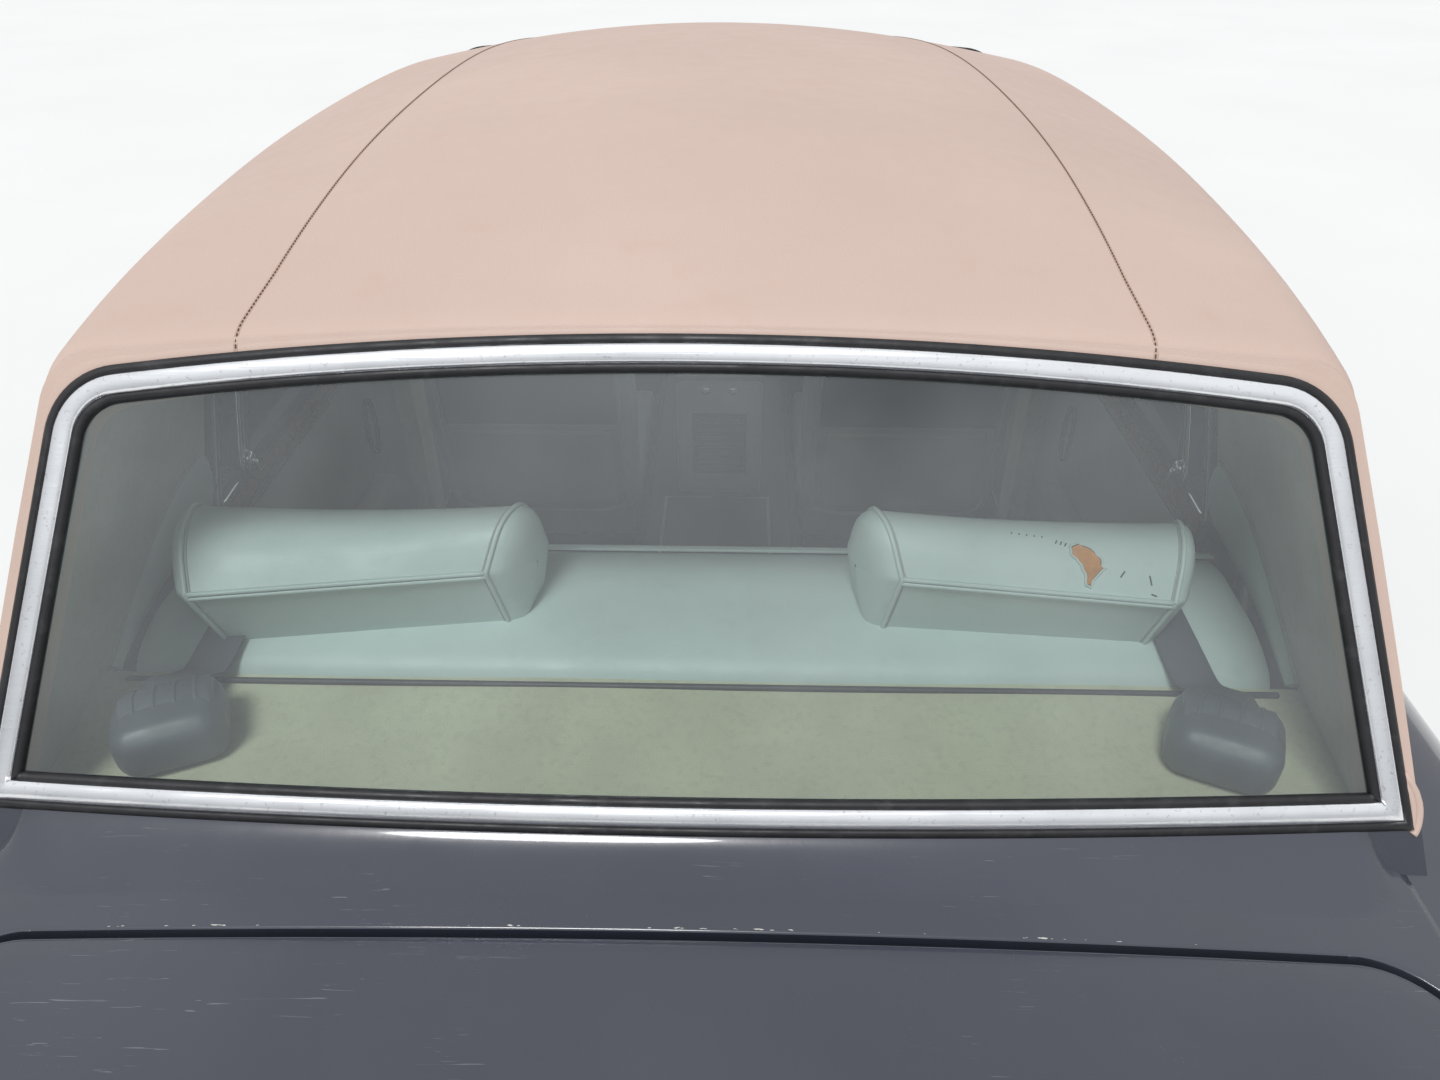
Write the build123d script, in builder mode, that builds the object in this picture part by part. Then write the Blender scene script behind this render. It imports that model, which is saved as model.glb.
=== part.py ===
from build123d import *
from math import cos, radians, sin, sqrt, tan
import os

os.makedirs("parts", exist_ok=True)

# A large four-door luxury saloon with a vinyl roof, in millimetres.
# It faces -Y, +X is its left side, +Z is up, and the origin is on the ground at the middle of its outline.

# Overall sizes
LENGTH = 5200
WIDTH = 1820
WHEELBASE = 3050
FRONT_OVERHANG = 900
TRACK = 1500
BUMPER_REACH = 95
HALF_WIDTH = WIDTH / 2
FRONT_Y = -LENGTH / 2
REAR_Y = LENGTH / 2
FRONT_AXLE_Y = FRONT_Y + FRONT_OVERHANG
REAR_AXLE_Y = FRONT_AXLE_Y + WHEELBASE
NOSE_Y = FRONT_Y + BUMPER_REACH
TAIL_Y = REAR_Y - BUMPER_REACH

# Wheels and tyres
TYRE_RADIUS = 355
TYRE_WIDTH = 235
RIM_RADIUS = 178
RIM_WIDTH = 190
AXLE_Z = TYRE_RADIUS
FRONT_ARCH_RADIUS = 398
REAR_ARCH_RADIUS = 385
FIT = 0.3

# Body walls, gaps and levels
BODY_WALL = 28
PANEL_GAP = 6
LID_GAP = 8
SILL_BOTTOM_Z = 215
SILL_TOP_Z = 294
DOOR_BOTTOM_Z = 300
WIDEST_Z = 640
SILL_TUCK = 68
SHOULDER_TUCK = 22
FLOOR_THICKNESS = 22

# Doors
FRONT_DOOR_Y = -872
FRONT_DOOR_LENGTH = 970
REAR_DOOR_LENGTH = 880
REAR_DOOR_Y = FRONT_DOOR_Y + FRONT_DOOR_LENGTH + PANEL_GAP
REAR_WING_Y = REAR_DOOR_Y + REAR_DOOR_LENGTH + PANEL_GAP
DOOR_TOP_Z = 1352
WAIST_Z = 950
DOOR_FRAME = 34
FRAME_DEPTH = 35
GLASS_DEPTH = 12
GLASS_THICKNESS = 5
DIVIDER_Y = 812
DIVIDER_WIDTH = 24
HINGE_X = HALF_WIDTH
POST_CLEARANCE = 8
LIP = 39
LIP_GAP = 8
LIP_STEP = 34
LIP_STEP_X = 858
WALL_LOW_Z = 480
FIREWALL_Y = FRONT_DOOR_Y - 34
COWL_Z = 880
SILL_INNER_X = 690

# Lids
BONNET_REAR_Y = -790
BONNET_FRONT_Y = NOSE_Y + 75
BONNET_REAR_HALF = 690
BONNET_FRONT_HALF = 610
BOOT_LID_Y = 1668
BOOT_LID_HALF = 665
BOOT_LID_CORNER = 80
BOOT_LID_BOTTOM_Z = 560

# Screens: a screen is a bowed sheet, given by the middle of its base, its slope and its bow
REAR_SCREEN_Y = 1560
REAR_SCREEN_Z = 1030
REAR_SCREEN_SLOPE = 57
REAR_SCREEN_BOW = 21
REAR_SCREEN_HALF_BASE = 665
REAR_SCREEN_HALF_TOP = 590
REAR_SCREEN_HEIGHT = 433
REAR_SCREEN_CROWN = 46
WINDSCREEN_Y = -690
WINDSCREEN_Z = 1024
WINDSCREEN_SLOPE = 48
WINDSCREEN_BOW = 60
WINDSCREEN_HALF_BASE = 668
WINDSCREEN_HALF_TOP = 590
WINDSCREEN_HEIGHT = 520
WINDSCREEN_CROWN = 30
FRONT_PILLAR = 58
SCREEN_CORNER = 60

# Body sections: place along the car, side tuck from the full half width, crown height,
# drop from the crown to the shoulder, shoulder radius
BODY_SECTIONS = (
    (NOSE_Y - 20, 65, 962, 60, 80),
    (NOSE_Y + 400, 30, 985, 60, 80),
    (FRONT_AXLE_Y + 200, 8, 1004, 62, 90),
    (FRONT_DOOR_Y + 180, 2, 1018, 70, 95),
    (FRONT_DOOR_Y + FRONT_DOOR_LENGTH, 0, 1020, 68, 105),
    (REAR_AXLE_Y - 350, 4, 1014, 58, 125),
    (REAR_SCREEN_Y + 90, 17, 999, 38, 145),
    (REAR_AXLE_Y + 800, 42, 966, 33, 125),
    (TAIL_Y + 20, 74, 928, 33, 110),
)

NOSE_TOP_Z = 966
NOSE_ROUND = 55
TAIL_DROP = 20

# Cabin sections: place along the car, half width at the base, half width at the cant rail,
# cant rail height, crown height, corner radius
CABIN_BASE_Z = 880
CABIN_SECTIONS = (
    (-950, 760, 600, 1270, 1310, 50),
    (-500, 790, 650, 1345, 1400, 60),
    (-200, 798, 685, 1375, 1455, 75),
    (200, 802, 700, 1388, 1508, 85),
    (600, 800, 695, 1392, 1512, 85),
    (900, 790, 670, 1393, 1494, 80),
    (1300, 758, 615, 1383, 1418, 60),
    (1700, 716, 560, 1310, 1330, 50),
)
SIDE_BARREL = 8
ROOF_THICKNESS = 34

# The doors' inner face, as half widths at the front door's front, at its rear and behind the rear door
TRIM_FRONT = 757
TRIM_MIDDLE = 745
TRIM_REAR = 738

# Cabin
HEEL_Y = 770
SEAT_PAN_Z = 385
BULKHEAD_Y = 1345
SHELF_Z = 978
BOOT_FLOOR_Z = 330
DASH_Y = -800
TUNNEL_HALF = 180
TUNNEL_TOP_Z = 500

# Front suspension
STEER_AXIS_X = 660
STEER_TOP_Z = AXLE_Z + 93
STEER_BOTTOM_Z = AXLE_Z - 93
UPRIGHT_RADIUS = 26
SPINDLE_RADIUS = 27
HUB_RADIUS = 60
BRAKE_RADIUS = 140
WHEELHOUSE_RADIUS = 425
WHEELHOUSE_INNER_X = 430
REAR_WHEELHOUSE_INNER_X = 590
LINING = 10


def body_section(y, tuck, crown, drop, radius, inset):
    """One closed section of the lower body, inset by a wall."""
    widest = HALF_WIDTH - tuck - inset
    sill = widest - SILL_TUCK
    shoulder = widest - SHOULDER_TUCK
    shoulder_z = crown - drop - inset
    bottom = SILL_BOTTOM_Z + inset
    with BuildSketch(Plane.XZ.offset(-y)) as section:
        with BuildLine():
            side = ThreePointArc((sill, bottom), (widest, WIDEST_Z), (shoulder, shoulder_z))
            top = ThreePointArc(side @ 1, (0, crown - inset), (-shoulder, shoulder_z))
            other = ThreePointArc(top @ 1, (-widest, WIDEST_Z), (-sill, bottom))
            Line(other @ 1, side @ 0)
        make_face()
        fillet(section.vertices().group_by(Axis.Y)[-1], max(12, radius - inset))
        fillet(section.vertices().group_by(Axis.Y)[0], max(12, 40 - inset / 2))
    return section.sketch


def lower_body(inset):
    """The lower body as one solid: its sections, cut by the side view and by the plan view."""
    nose, tail, top = NOSE_Y + inset, TAIL_Y - inset, NOSE_TOP_Z - inset
    with BuildPart() as body:
        for row in BODY_SECTIONS:
            add(body_section(*row, inset))
        loft()
        with BuildSketch(Plane.YZ):
            with BuildLine():
                Polyline((nose + 6, top - NOSE_ROUND), (nose, 430), (nose + 40, 100), (tail - 60, 100),
                         (tail, 620), (tail - 28, top - TAIL_DROP - NOSE_ROUND))
                tail_round = RadiusArc((tail - 28, top - TAIL_DROP - NOSE_ROUND),
                                       (tail - 28 - NOSE_ROUND, top - TAIL_DROP), -NOSE_ROUND)
                Polyline(tail_round @ 1, (REAR_SCREEN_Y, 1070), (FRONT_AXLE_Y, 1070),
                         (nose + 6 + NOSE_ROUND, top))
                RadiusArc((nose + 6 + NOSE_ROUND, top), (nose + 6, top - NOSE_ROUND), -NOSE_ROUND)
            make_face()
        extrude(amount=HALF_WIDTH + 100, both=True, mode=Mode.INTERSECT)
        with BuildSketch(Plane.XY):
            with BuildLine():
                side_x = HALF_WIDTH + 20
                front = ThreePointArc((-side_x, nose + 75), (0, nose), (side_x, nose + 75))
                rear = ThreePointArc((side_x, tail - 60), (0, tail), (-side_x, tail - 60))
                Line(front @ 1, rear @ 0)
                Line(rear @ 1, front @ 0)
            make_face()
        extrude(amount=1200, mode=Mode.INTERSECT)
    return body.part


def cabin_section(y, base, cant, cant_z, crown, radius, inset):
    """One closed section of the cabin's outer form, from below the waist to the roof."""
    base, cant, cant_z, crown = base - inset, cant - inset, cant_z - inset, crown - inset
    middle = (base + cant) / 2 + SIDE_BARREL
    with BuildSketch(Plane.XZ.offset(-y)) as section:
        with BuildLine():
            side = ThreePointArc((base, CABIN_BASE_Z), (middle, (CABIN_BASE_Z + cant_z) / 2), (cant, cant_z))
            top = ThreePointArc(side @ 1, (0, crown), (-cant, cant_z))
            other = ThreePointArc(top @ 1, (-middle, (CABIN_BASE_Z + cant_z) / 2), (-base, CABIN_BASE_Z))
            Line(other @ 1, side @ 0)
        make_face()
        fillet(section.vertices().group_by(Axis.Y)[-1], max(10, radius - inset / 2))
    return section.sketch


def screen_prism(y, z, slope, bow, half, depth, ahead):
    """Everything on one side of a bowed, leaning screen. The depth is measured into the cabin.
    ahead is 1 for the rear screen, whose cabin lies ahead of it, and -1 for the windscreen."""
    place = y - ahead * depth / sin(radians(slope))
    side_x = HALF_WIDTH + 60
    corner = place - ahead * bow * (side_x / half) ** 2
    far = place - ahead * 2600
    lean = (0, -ahead * cos(radians(slope)), sin(radians(slope)))
    with BuildPart() as prism:
        with BuildSketch(Plane.XY.offset(z)):
            with BuildLine():
                bowed = ThreePointArc((-side_x, corner), (0, place), (side_x, corner))
                Polyline(bowed @ 1, (side_x, far), (-side_x, far), bowed @ 0)
            make_face()
        extrude(amount=900, dir=lean)
        extrude(prism.faces().sort_by(Axis.Z)[0], amount=400, dir=(0, -lean[1], -lean[2]))
    return prism.part


def ahead_of_rear_screen(depth):
    return screen_prism(REAR_SCREEN_Y, REAR_SCREEN_Z, REAR_SCREEN_SLOPE, REAR_SCREEN_BOW,
                        REAR_SCREEN_HALF_BASE, depth, 1)


def behind_windscreen(depth):
    return screen_prism(WINDSCREEN_Y, WINDSCREEN_Z, WINDSCREEN_SLOPE, WINDSCREEN_BOW,
                        WINDSCREEN_HALF_BASE, depth, -1)


def cabin(inset):
    """The cabin's form as one solid, inset by a wall on all its sides."""
    with BuildPart() as form:
        for row in CABIN_SECTIONS:
            add(cabin_section(*row, inset))
        loft()
        add(ahead_of_rear_screen(inset), mode=Mode.INTERSECT)
        add(behind_windscreen(inset), mode=Mode.INTERSECT)
    return form.part


def side_prism(points, low_x, high_x):
    """A side view outline, as (y, z) points, drawn across from one half width to another."""
    with BuildPart() as prism:
        with BuildSketch(Plane.YZ.offset(low_x)):
            with BuildLine():
                Polyline(*points, close=True)
            make_face()
        extrude(amount=high_x - low_x)
    return prism.part


def plan_prism(points, low_z, high_z):
    """A plan view outline, as (x, y) points, drawn up from one height to another."""
    with BuildPart() as prism:
        with BuildSketch(Plane.XY.offset(low_z)):
            with BuildLine():
                Polyline(*points, close=True)
            make_face()
        extrude(amount=high_z - low_z)
    return prism.part


def block(low, high):
    """A box between its lowest and its highest corner."""
    with BuildPart() as box:
        with Locations(tuple((a + b) / 2 for a, b in zip(low, high))):
            Box(*[b - a for a, b in zip(low, high)])
    return box.part


def cross_cylinder(y, z, radius, low_x, high_x):
    """A cylinder across the car, on an axis along X."""
    with BuildPart() as cylinder:
        with BuildSketch(Plane.YZ.offset(low_x)):
            with Locations((y, z)):
                Circle(radius)
        extrude(amount=high_x - low_x)
    return cylinder.part


def upright_cylinder(x, y, radius, low_z, high_z):
    """A cylinder on an upright axis."""
    with BuildPart() as cylinder:
        with BuildSketch(Plane.XY.offset(low_z)):
            with Locations((x, y)):
                Circle(radius)
        extrude(amount=high_z - low_z)
    return cylinder.part


def write(part, label):
    part.label = label
    export_step(part, f"parts/{label}.step")


def write_mirrored(part, label):
    """Writes the left piece and its mirror image on the right."""
    write(part, label + "_left")
    with BuildPart() as other:
        mirror(part, about=Plane.YZ)
    write(other.part, label + "_right")


def trim_zone(clearance):
    """The left side outboard of the doors' inner face, less a clearance."""
    with BuildPart() as zone:
        with BuildSketch(Plane.XY.offset(0)):
            with BuildLine():
                face = ThreePointArc((TRIM_FRONT - clearance, FRONT_DOOR_Y - 60),
                                     (TRIM_MIDDLE - clearance, REAR_DOOR_Y),
                                     (TRIM_REAR - clearance, BULKHEAD_Y))
                Polyline(face @ 1, (HALF_WIDTH + 90, BULKHEAD_Y), (HALF_WIDTH + 90, FRONT_DOOR_Y - 60),
                         face @ 0)
            make_face()
        extrude(amount=1600)
    return zone.part


OUTER = lower_body(0)
INNER = lower_body(BODY_WALL)
ABOVE_BODY = lower_body(-PANEL_GAP)
CABIN = cabin(0)
CABIN_INNER = cabin(ROOF_THICKNESS)

with BuildPart() as body_shell:
    add(OUTER)
    add(INNER, mode=Mode.SUBTRACT)

# Door outlines in the side view. Each rear edge lies inside a circle about the door's hinge.
FRONT_DOOR_END_Y = FRONT_DOOR_Y + FRONT_DOOR_LENGTH
REAR_DOOR_END_Y = REAR_DOOR_Y + REAR_DOOR_LENGTH


def swing(length, inboard):
    """How far back from its hinge a door reaches, this far inboard of the hinge line."""
    return sqrt(length ** 2 - inboard ** 2)


WAIST_INBOARD = HINGE_X - 782
ROOF_INBOARD = HINGE_X - 700
FRONT_END_WAIST_Y = FRONT_DOOR_Y + swing(FRONT_DOOR_LENGTH, WAIST_INBOARD)
FRONT_END_TOP_Y = FRONT_DOOR_Y + swing(FRONT_DOOR_LENGTH, ROOF_INBOARD)
REAR_END_WAIST_Y = REAR_DOOR_Y + swing(REAR_DOOR_LENGTH, WAIST_INBOARD)
REAR_END_TOP_Y = REAR_DOOR_Y + swing(REAR_DOOR_LENGTH, ROOF_INBOARD)


def pillar_y(z, width):
    """The rear edge of the windscreen pillar in the side view."""
    return WINDSCREEN_Y + WINDSCREEN_BOW + width + (z - WINDSCREEN_Z) / tan(radians(WINDSCREEN_SLOPE))


def front_door_outline(grow):
    return (
        (FRONT_DOOR_Y - grow, DOOR_BOTTOM_Z - grow), (FRONT_DOOR_END_Y + grow, DOOR_BOTTOM_Z - grow),
        (FRONT_DOOR_END_Y + grow, WAIST_Z - 30), (FRONT_END_WAIST_Y + grow, WAIST_Z + 10),
        (FRONT_END_TOP_Y + grow, DOOR_TOP_Z + grow),
        (pillar_y(DOOR_TOP_Z + grow, FRONT_PILLAR) - grow, DOOR_TOP_Z + grow),
        (pillar_y(WAIST_Z - 30, FRONT_PILLAR) - grow, WAIST_Z - 30), (FRONT_DOOR_Y - grow, WAIST_Z - 30))


def rear_door_outline(grow):
    return (
        (REAR_DOOR_Y - grow, DOOR_BOTTOM_Z - grow), (REAR_DOOR_END_Y + grow, DOOR_BOTTOM_Z - grow),
        (REAR_DOOR_END_Y + grow, WAIST_Z - 30), (REAR_END_WAIST_Y + grow, WAIST_Z + 10),
        (REAR_END_TOP_Y + grow, DOOR_TOP_Z + grow), (FRONT_END_TOP_Y + PANEL_GAP - grow, DOOR_TOP_Z + grow),
        (FRONT_END_WAIST_Y + PANEL_GAP - grow, WAIST_Z + 10), (REAR_DOOR_Y - grow, WAIST_Z - 30))


def door(outline, window, hinge_y, length, ahead_hinge_y):
    """A left door: its lower part as thick as the whole door, and its window frame above."""
    with BuildPart() as lower:
        add(OUTER)
        add(trim_zone(0), mode=Mode.INTERSECT)
        start_y = hinge_y if ahead_hinge_y is None else hinge_y - 40
        add(block((0, start_y, DOOR_BOTTOM_Z), (HALF_WIDTH + 60, hinge_y + length + 40, 1100)),
            mode=Mode.INTERSECT)
    with BuildPart() as frame:
        add(CABIN)
        add(cabin(FRAME_DEPTH), mode=Mode.SUBTRACT)
        add(side_prism(outline, 0, HALF_WIDTH), mode=Mode.INTERSECT)
        add(block((HALF_WIDTH / 2, FRONT_DOOR_Y, WAIST_Z - 28), (HALF_WIDTH, REAR_AXLE_Y, 1500)), mode=Mode.INTERSECT)
        for pane in window:
            add(side_prism(pane, 0, HALF_WIDTH), mode=Mode.SUBTRACT)
    with BuildPart() as whole:
        add(lower.part)
        add(frame.part)
        add(upright_cylinder(HINGE_X, hinge_y, length, 0, 1600), mode=Mode.INTERSECT)
        if ahead_hinge_y is not None:
            add(upright_cylinder(HINGE_X, ahead_hinge_y, FRONT_DOOR_LENGTH + PANEL_GAP, 0, 1600),
                mode=Mode.SUBTRACT)
        add(cross_cylinder(REAR_AXLE_Y, AXLE_Z, REAR_ARCH_RADIUS + LIP + LIP_GAP, 0, HALF_WIDTH + 60),
            mode=Mode.SUBTRACT)
        add(cross_cylinder(REAR_AXLE_Y, AXLE_Z, REAR_ARCH_RADIUS + LIP + LIP_STEP, 0, LIP_STEP_X), mode=Mode.SUBTRACT)
    return whole.part


FRAME_LOW_Z = WAIST_Z - 40
FRAME_HIGH_Z = DOOR_TOP_Z - DOOR_FRAME
FRONT_WINDOW = (
    (pillar_y(FRAME_LOW_Z, FRONT_PILLAR) + 1.5 * DOOR_FRAME, FRAME_LOW_Z),
    (FRONT_END_WAIST_Y - DOOR_FRAME, FRAME_LOW_Z), (FRONT_END_TOP_Y - DOOR_FRAME, FRAME_HIGH_Z),
    (pillar_y(FRAME_HIGH_Z, FRONT_PILLAR) + 1.5 * DOOR_FRAME, FRAME_HIGH_Z))
REAR_WINDOW = (
    (FRONT_END_WAIST_Y + PANEL_GAP + DOOR_FRAME, FRAME_LOW_Z), (DIVIDER_Y - DIVIDER_WIDTH / 2, FRAME_LOW_Z),
    (DIVIDER_Y - DIVIDER_WIDTH / 2, FRAME_HIGH_Z), (FRONT_END_TOP_Y + PANEL_GAP + DOOR_FRAME, FRAME_HIGH_Z))
QUARTER_WINDOW = (
    (DIVIDER_Y + DIVIDER_WIDTH / 2, FRAME_LOW_Z), (REAR_END_WAIST_Y - 1.3 * DOOR_FRAME, FRAME_LOW_Z),
    (REAR_END_TOP_Y - 1.3 * DOOR_FRAME, FRAME_HIGH_Z), (DIVIDER_Y + DIVIDER_WIDTH / 2, FRAME_HIGH_Z))


def side_glass(panes, door_part):
    """The panes of a left door, set back in its frame."""
    with BuildPart() as glass:
        add(cabin(GLASS_DEPTH))
        add(cabin(GLASS_DEPTH + GLASS_THICKNESS), mode=Mode.SUBTRACT)
        with BuildSketch(Plane.YZ):
            for pane in panes:
                with BuildLine():
                    Polyline(*pane, close=True)
                make_face()
            offset(amount=-FIT)
        extrude(amount=HALF_WIDTH, mode=Mode.INTERSECT)
        add(door_part, mode=Mode.SUBTRACT)
        add(block((0, -2000, WAIST_Z - 5), (HALF_WIDTH, 2000, 1500)), mode=Mode.INTERSECT)
    return glass.part


front_door = door(front_door_outline(0), (FRONT_WINDOW,), FRONT_DOOR_Y, FRONT_DOOR_LENGTH, None)
rear_door = door(rear_door_outline(0), (REAR_WINDOW, QUARTER_WINDOW), REAR_DOOR_Y, REAR_DOOR_LENGTH,
                 FRONT_DOOR_Y)
write_mirrored(front_door, "front_door")
write_mirrored(rear_door, "rear_door")
write_mirrored(side_glass((FRONT_WINDOW,), front_door), "front_door_glass")
write_mirrored(side_glass((REAR_WINDOW, QUARTER_WINDOW), rear_door), "rear_door_glass")


def screen_plane(y, z, slope, ahead):
    """A screen's own plane, with its local Y up the slope."""
    return Plane(origin=(0, y, z), x_dir=(-ahead, 0, 0), z_dir=(0, ahead * sin(radians(slope)), cos(radians(slope))))


def screen_outline(half_base, half_top, height, crown, corner, grow, plane):
    """A screen's outline in its own plane, drawn through the shell."""
    with BuildPart() as prism:
        with BuildSketch(plane) as sketch:
            with BuildLine():
                top = ThreePointArc((half_top, height - crown), (0, height), (-half_top, height - crown))
                Polyline(top @ 1, (-half_base, 0), (half_base, 0), top @ 0)
            make_face()
            fillet(sketch.vertices().group_by(Axis.Y)[-1], corner)
            offset(amount=grow, kind=Kind.INTERSECTION)
        extrude(amount=70, both=True)
    return prism.part


REAR_SCREEN_PLANE = screen_plane(REAR_SCREEN_Y, REAR_SCREEN_Z, REAR_SCREEN_SLOPE, 1)
WINDSCREEN_PLANE = screen_plane(WINDSCREEN_Y, WINDSCREEN_Z, WINDSCREEN_SLOPE, -1)
CHROME_HALF = 8
RUBBER_WIDTH = 12
SCREEN_LIP = CHROME_HALF + RUBBER_WIDTH
SURROUND_THICKNESS = 6


def rear_screen_outline(grow):
    return screen_outline(REAR_SCREEN_HALF_BASE, REAR_SCREEN_HALF_TOP, REAR_SCREEN_HEIGHT, REAR_SCREEN_CROWN,
                          SCREEN_CORNER, grow, REAR_SCREEN_PLANE)


def windscreen_outline(grow):
    return screen_outline(WINDSCREEN_HALF_BASE, WINDSCREEN_HALF_TOP, WINDSCREEN_HEIGHT, WINDSCREEN_CROWN,
                          SCREEN_CORNER, grow, WINDSCREEN_PLANE)


def screen_glass(side_of_screen, outline):
    """A screen's glass, just below its surround."""
    with BuildPart() as glass:
        add(outline(-CHROME_HALF - FIT))
        add(side_of_screen(FIT), mode=Mode.INTERSECT)
        add(side_of_screen(FIT + GLASS_THICKNESS), mode=Mode.SUBTRACT)
    return glass.part


def screen_surround(side_of_screen, outline):
    """The bright strip and the rubber about a screen, lying on the shell."""
    with BuildPart() as ring:
        add(outline(SCREEN_LIP))
        add(side_of_screen(-SURROUND_THICKNESS), mode=Mode.INTERSECT)
        add(side_of_screen(0), mode=Mode.SUBTRACT)
        add(outline(-SCREEN_LIP), mode=Mode.SUBTRACT)
        add(OUTER, mode=Mode.SUBTRACT)
    return ring.part


write(screen_glass(ahead_of_rear_screen, rear_screen_outline), "rear_window")
write(screen_glass(behind_windscreen, windscreen_outline), "windscreen")
with BuildPart() as screen_surrounds:
    add(screen_surround(ahead_of_rear_screen, rear_screen_outline))
    add(screen_surround(behind_windscreen, windscreen_outline))
write(screen_surrounds.part, "screen_surrounds")


def door_space():
    """The room that the left doors fill, with a gap about them."""
    with BuildPart() as space:
        add(trim_zone(PANEL_GAP))
        add(block((0, FRONT_DOOR_Y - PANEL_GAP, 0), (HALF_WIDTH + 90, REAR_WING_Y, 1500)), mode=Mode.INTERSECT)
    return space.part


def clear_of_doors():
    """The space just above the doors' shoulders on the left side, which the pillars' feet keep clear of."""
    with BuildPart() as space:
        add(ABOVE_BODY)
        add(door_space(), mode=Mode.INTERSECT)
    return space.part


def both_sides(part):
    """A left piece together with its mirror image."""
    with BuildPart() as pair:
        add(part)
        mirror(part, about=Plane.YZ)
    return pair.part


# Roof shell with its windscreen and rear pillars
with BuildPart() as roof_shell:
    add(CABIN)
    add(CABIN_INNER, mode=Mode.SUBTRACT)
    add(OUTER, mode=Mode.SUBTRACT)
    add(rear_screen_outline(-CHROME_HALF), mode=Mode.SUBTRACT)
    add(windscreen_outline(-CHROME_HALF), mode=Mode.SUBTRACT)
    for outline in (front_door_outline(PANEL_GAP), rear_door_outline(PANEL_GAP)):
        add(side_prism(outline, -HALF_WIDTH, HALF_WIDTH), mode=Mode.SUBTRACT)
    add(both_sides(clear_of_doors()), mode=Mode.SUBTRACT)
write(roof_shell.part, "roof_shell")

# Wheelhouses, lids and outer panels
def wheelhouse(axle_y, radius, inner_x, wall_low_z):
    """A left wheelhouse: a lining over the wheel, with an inner wall above the suspension."""
    with BuildPart() as house:
        add(cross_cylinder(axle_y, AXLE_Z, radius + LINING, inner_x - LINING, HALF_WIDTH))
        add(cross_cylinder(axle_y, AXLE_Z, radius, inner_x, HALF_WIDTH), mode=Mode.SUBTRACT)
        add(block((0, axle_y - 2 * radius, 0), (inner_x, axle_y + 2 * radius, wall_low_z)), mode=Mode.SUBTRACT)
        add(block((0, axle_y - 2 * radius, 0), (HALF_WIDTH + 60, axle_y + 2 * radius, SILL_TOP_Z)),
            mode=Mode.SUBTRACT)
        add(OUTER, mode=Mode.INTERSECT)
    return house.part


def bonnet_zone(grow):
    return plan_prism(((BONNET_FRONT_HALF + grow, BONNET_FRONT_Y - grow), (BONNET_REAR_HALF + grow, BONNET_REAR_Y + grow),
                       (-BONNET_REAR_HALF - grow, BONNET_REAR_Y + grow),
                       (-BONNET_FRONT_HALF - grow, BONNET_FRONT_Y - grow)), 780, 1100)


def boot_lid_zone(grow):
    with BuildPart() as zone:
        with BuildSketch(Plane.XY.offset(BOOT_LID_BOTTOM_Z - grow)) as sketch:
            with BuildLine():
                Polyline((BOOT_LID_HALF, BOOT_LID_Y), (BOOT_LID_HALF - 15, TAIL_Y + 100),
                         (15 - BOOT_LID_HALF, TAIL_Y + 100), (-BOOT_LID_HALF, BOOT_LID_Y), close=True)
            make_face()
            fillet(sketch.vertices().group_by(Axis.Y)[0], BOOT_LID_CORNER)
            offset(amount=grow)
        extrude(amount=700)
    return zone.part


with BuildPart() as bonnet:
    add(body_shell.part)
    add(bonnet_zone(0), mode=Mode.INTERSECT)
write(bonnet.part, "bonnet")

with BuildPart() as boot_lid:
    add(body_shell.part)
    add(boot_lid_zone(0), mode=Mode.INTERSECT)
write(boot_lid.part, "boot_lid")

FRONT_PANEL_HALF = 800
FRONT_PANEL_LOW_Z = 330


def front_panel_zone():
    """The nose between the wings: all that is ahead of the bonnet, and a deeper box below it."""
    with BuildPart() as zone:
        add(block((-FRONT_PANEL_HALF, NOSE_Y - 50, FRONT_PANEL_LOW_Z),
                  (FRONT_PANEL_HALF, BONNET_FRONT_Y - PANEL_GAP, 1100)))
        add(block((-FRONT_PANEL_HALF, NOSE_Y - 50, FRONT_PANEL_LOW_Z), (FRONT_PANEL_HALF, NOSE_Y + 160, COWL_Z)))
    return zone.part


with BuildPart() as front_wing:
    add(body_shell.part)
    add(block((0, NOSE_Y - 50, SILL_TOP_Z), (HALF_WIDTH + 60, FRONT_DOOR_Y - PANEL_GAP, 1100)),
        mode=Mode.INTERSECT)
    add(bonnet_zone(PANEL_GAP), mode=Mode.SUBTRACT)
    add(front_panel_zone(), mode=Mode.SUBTRACT)
    add(block((0, NOSE_Y - 50, 0), (FRONT_PANEL_HALF, NOSE_Y + 300, FRONT_PANEL_LOW_Z)), mode=Mode.SUBTRACT)
    add(cross_cylinder(FRONT_AXLE_Y, AXLE_Z, FRONT_ARCH_RADIUS, 0, HALF_WIDTH + 60), mode=Mode.SUBTRACT)
    add(wheelhouse(FRONT_AXLE_Y, WHEELHOUSE_RADIUS, WHEELHOUSE_INNER_X, WALL_LOW_Z))
write_mirrored(front_wing.part, "front_wing")

# Front panel with its grille and lamp openings
GRILLE_HALF = 330
GRILLE_LOW_Z = 480
GRILLE_HIGH_Z = 860
GRILLE_CORNER = 40
GRILLE_DEPTH = 45
GRILLE_FRAME = 22
SLAT_WIDTH = 7
SLAT_COUNT = 21
LAMP_Z = 690
LAMPS = (
    # place across the car, radius
    (470, 86),
    (670, 86),
)


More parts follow.
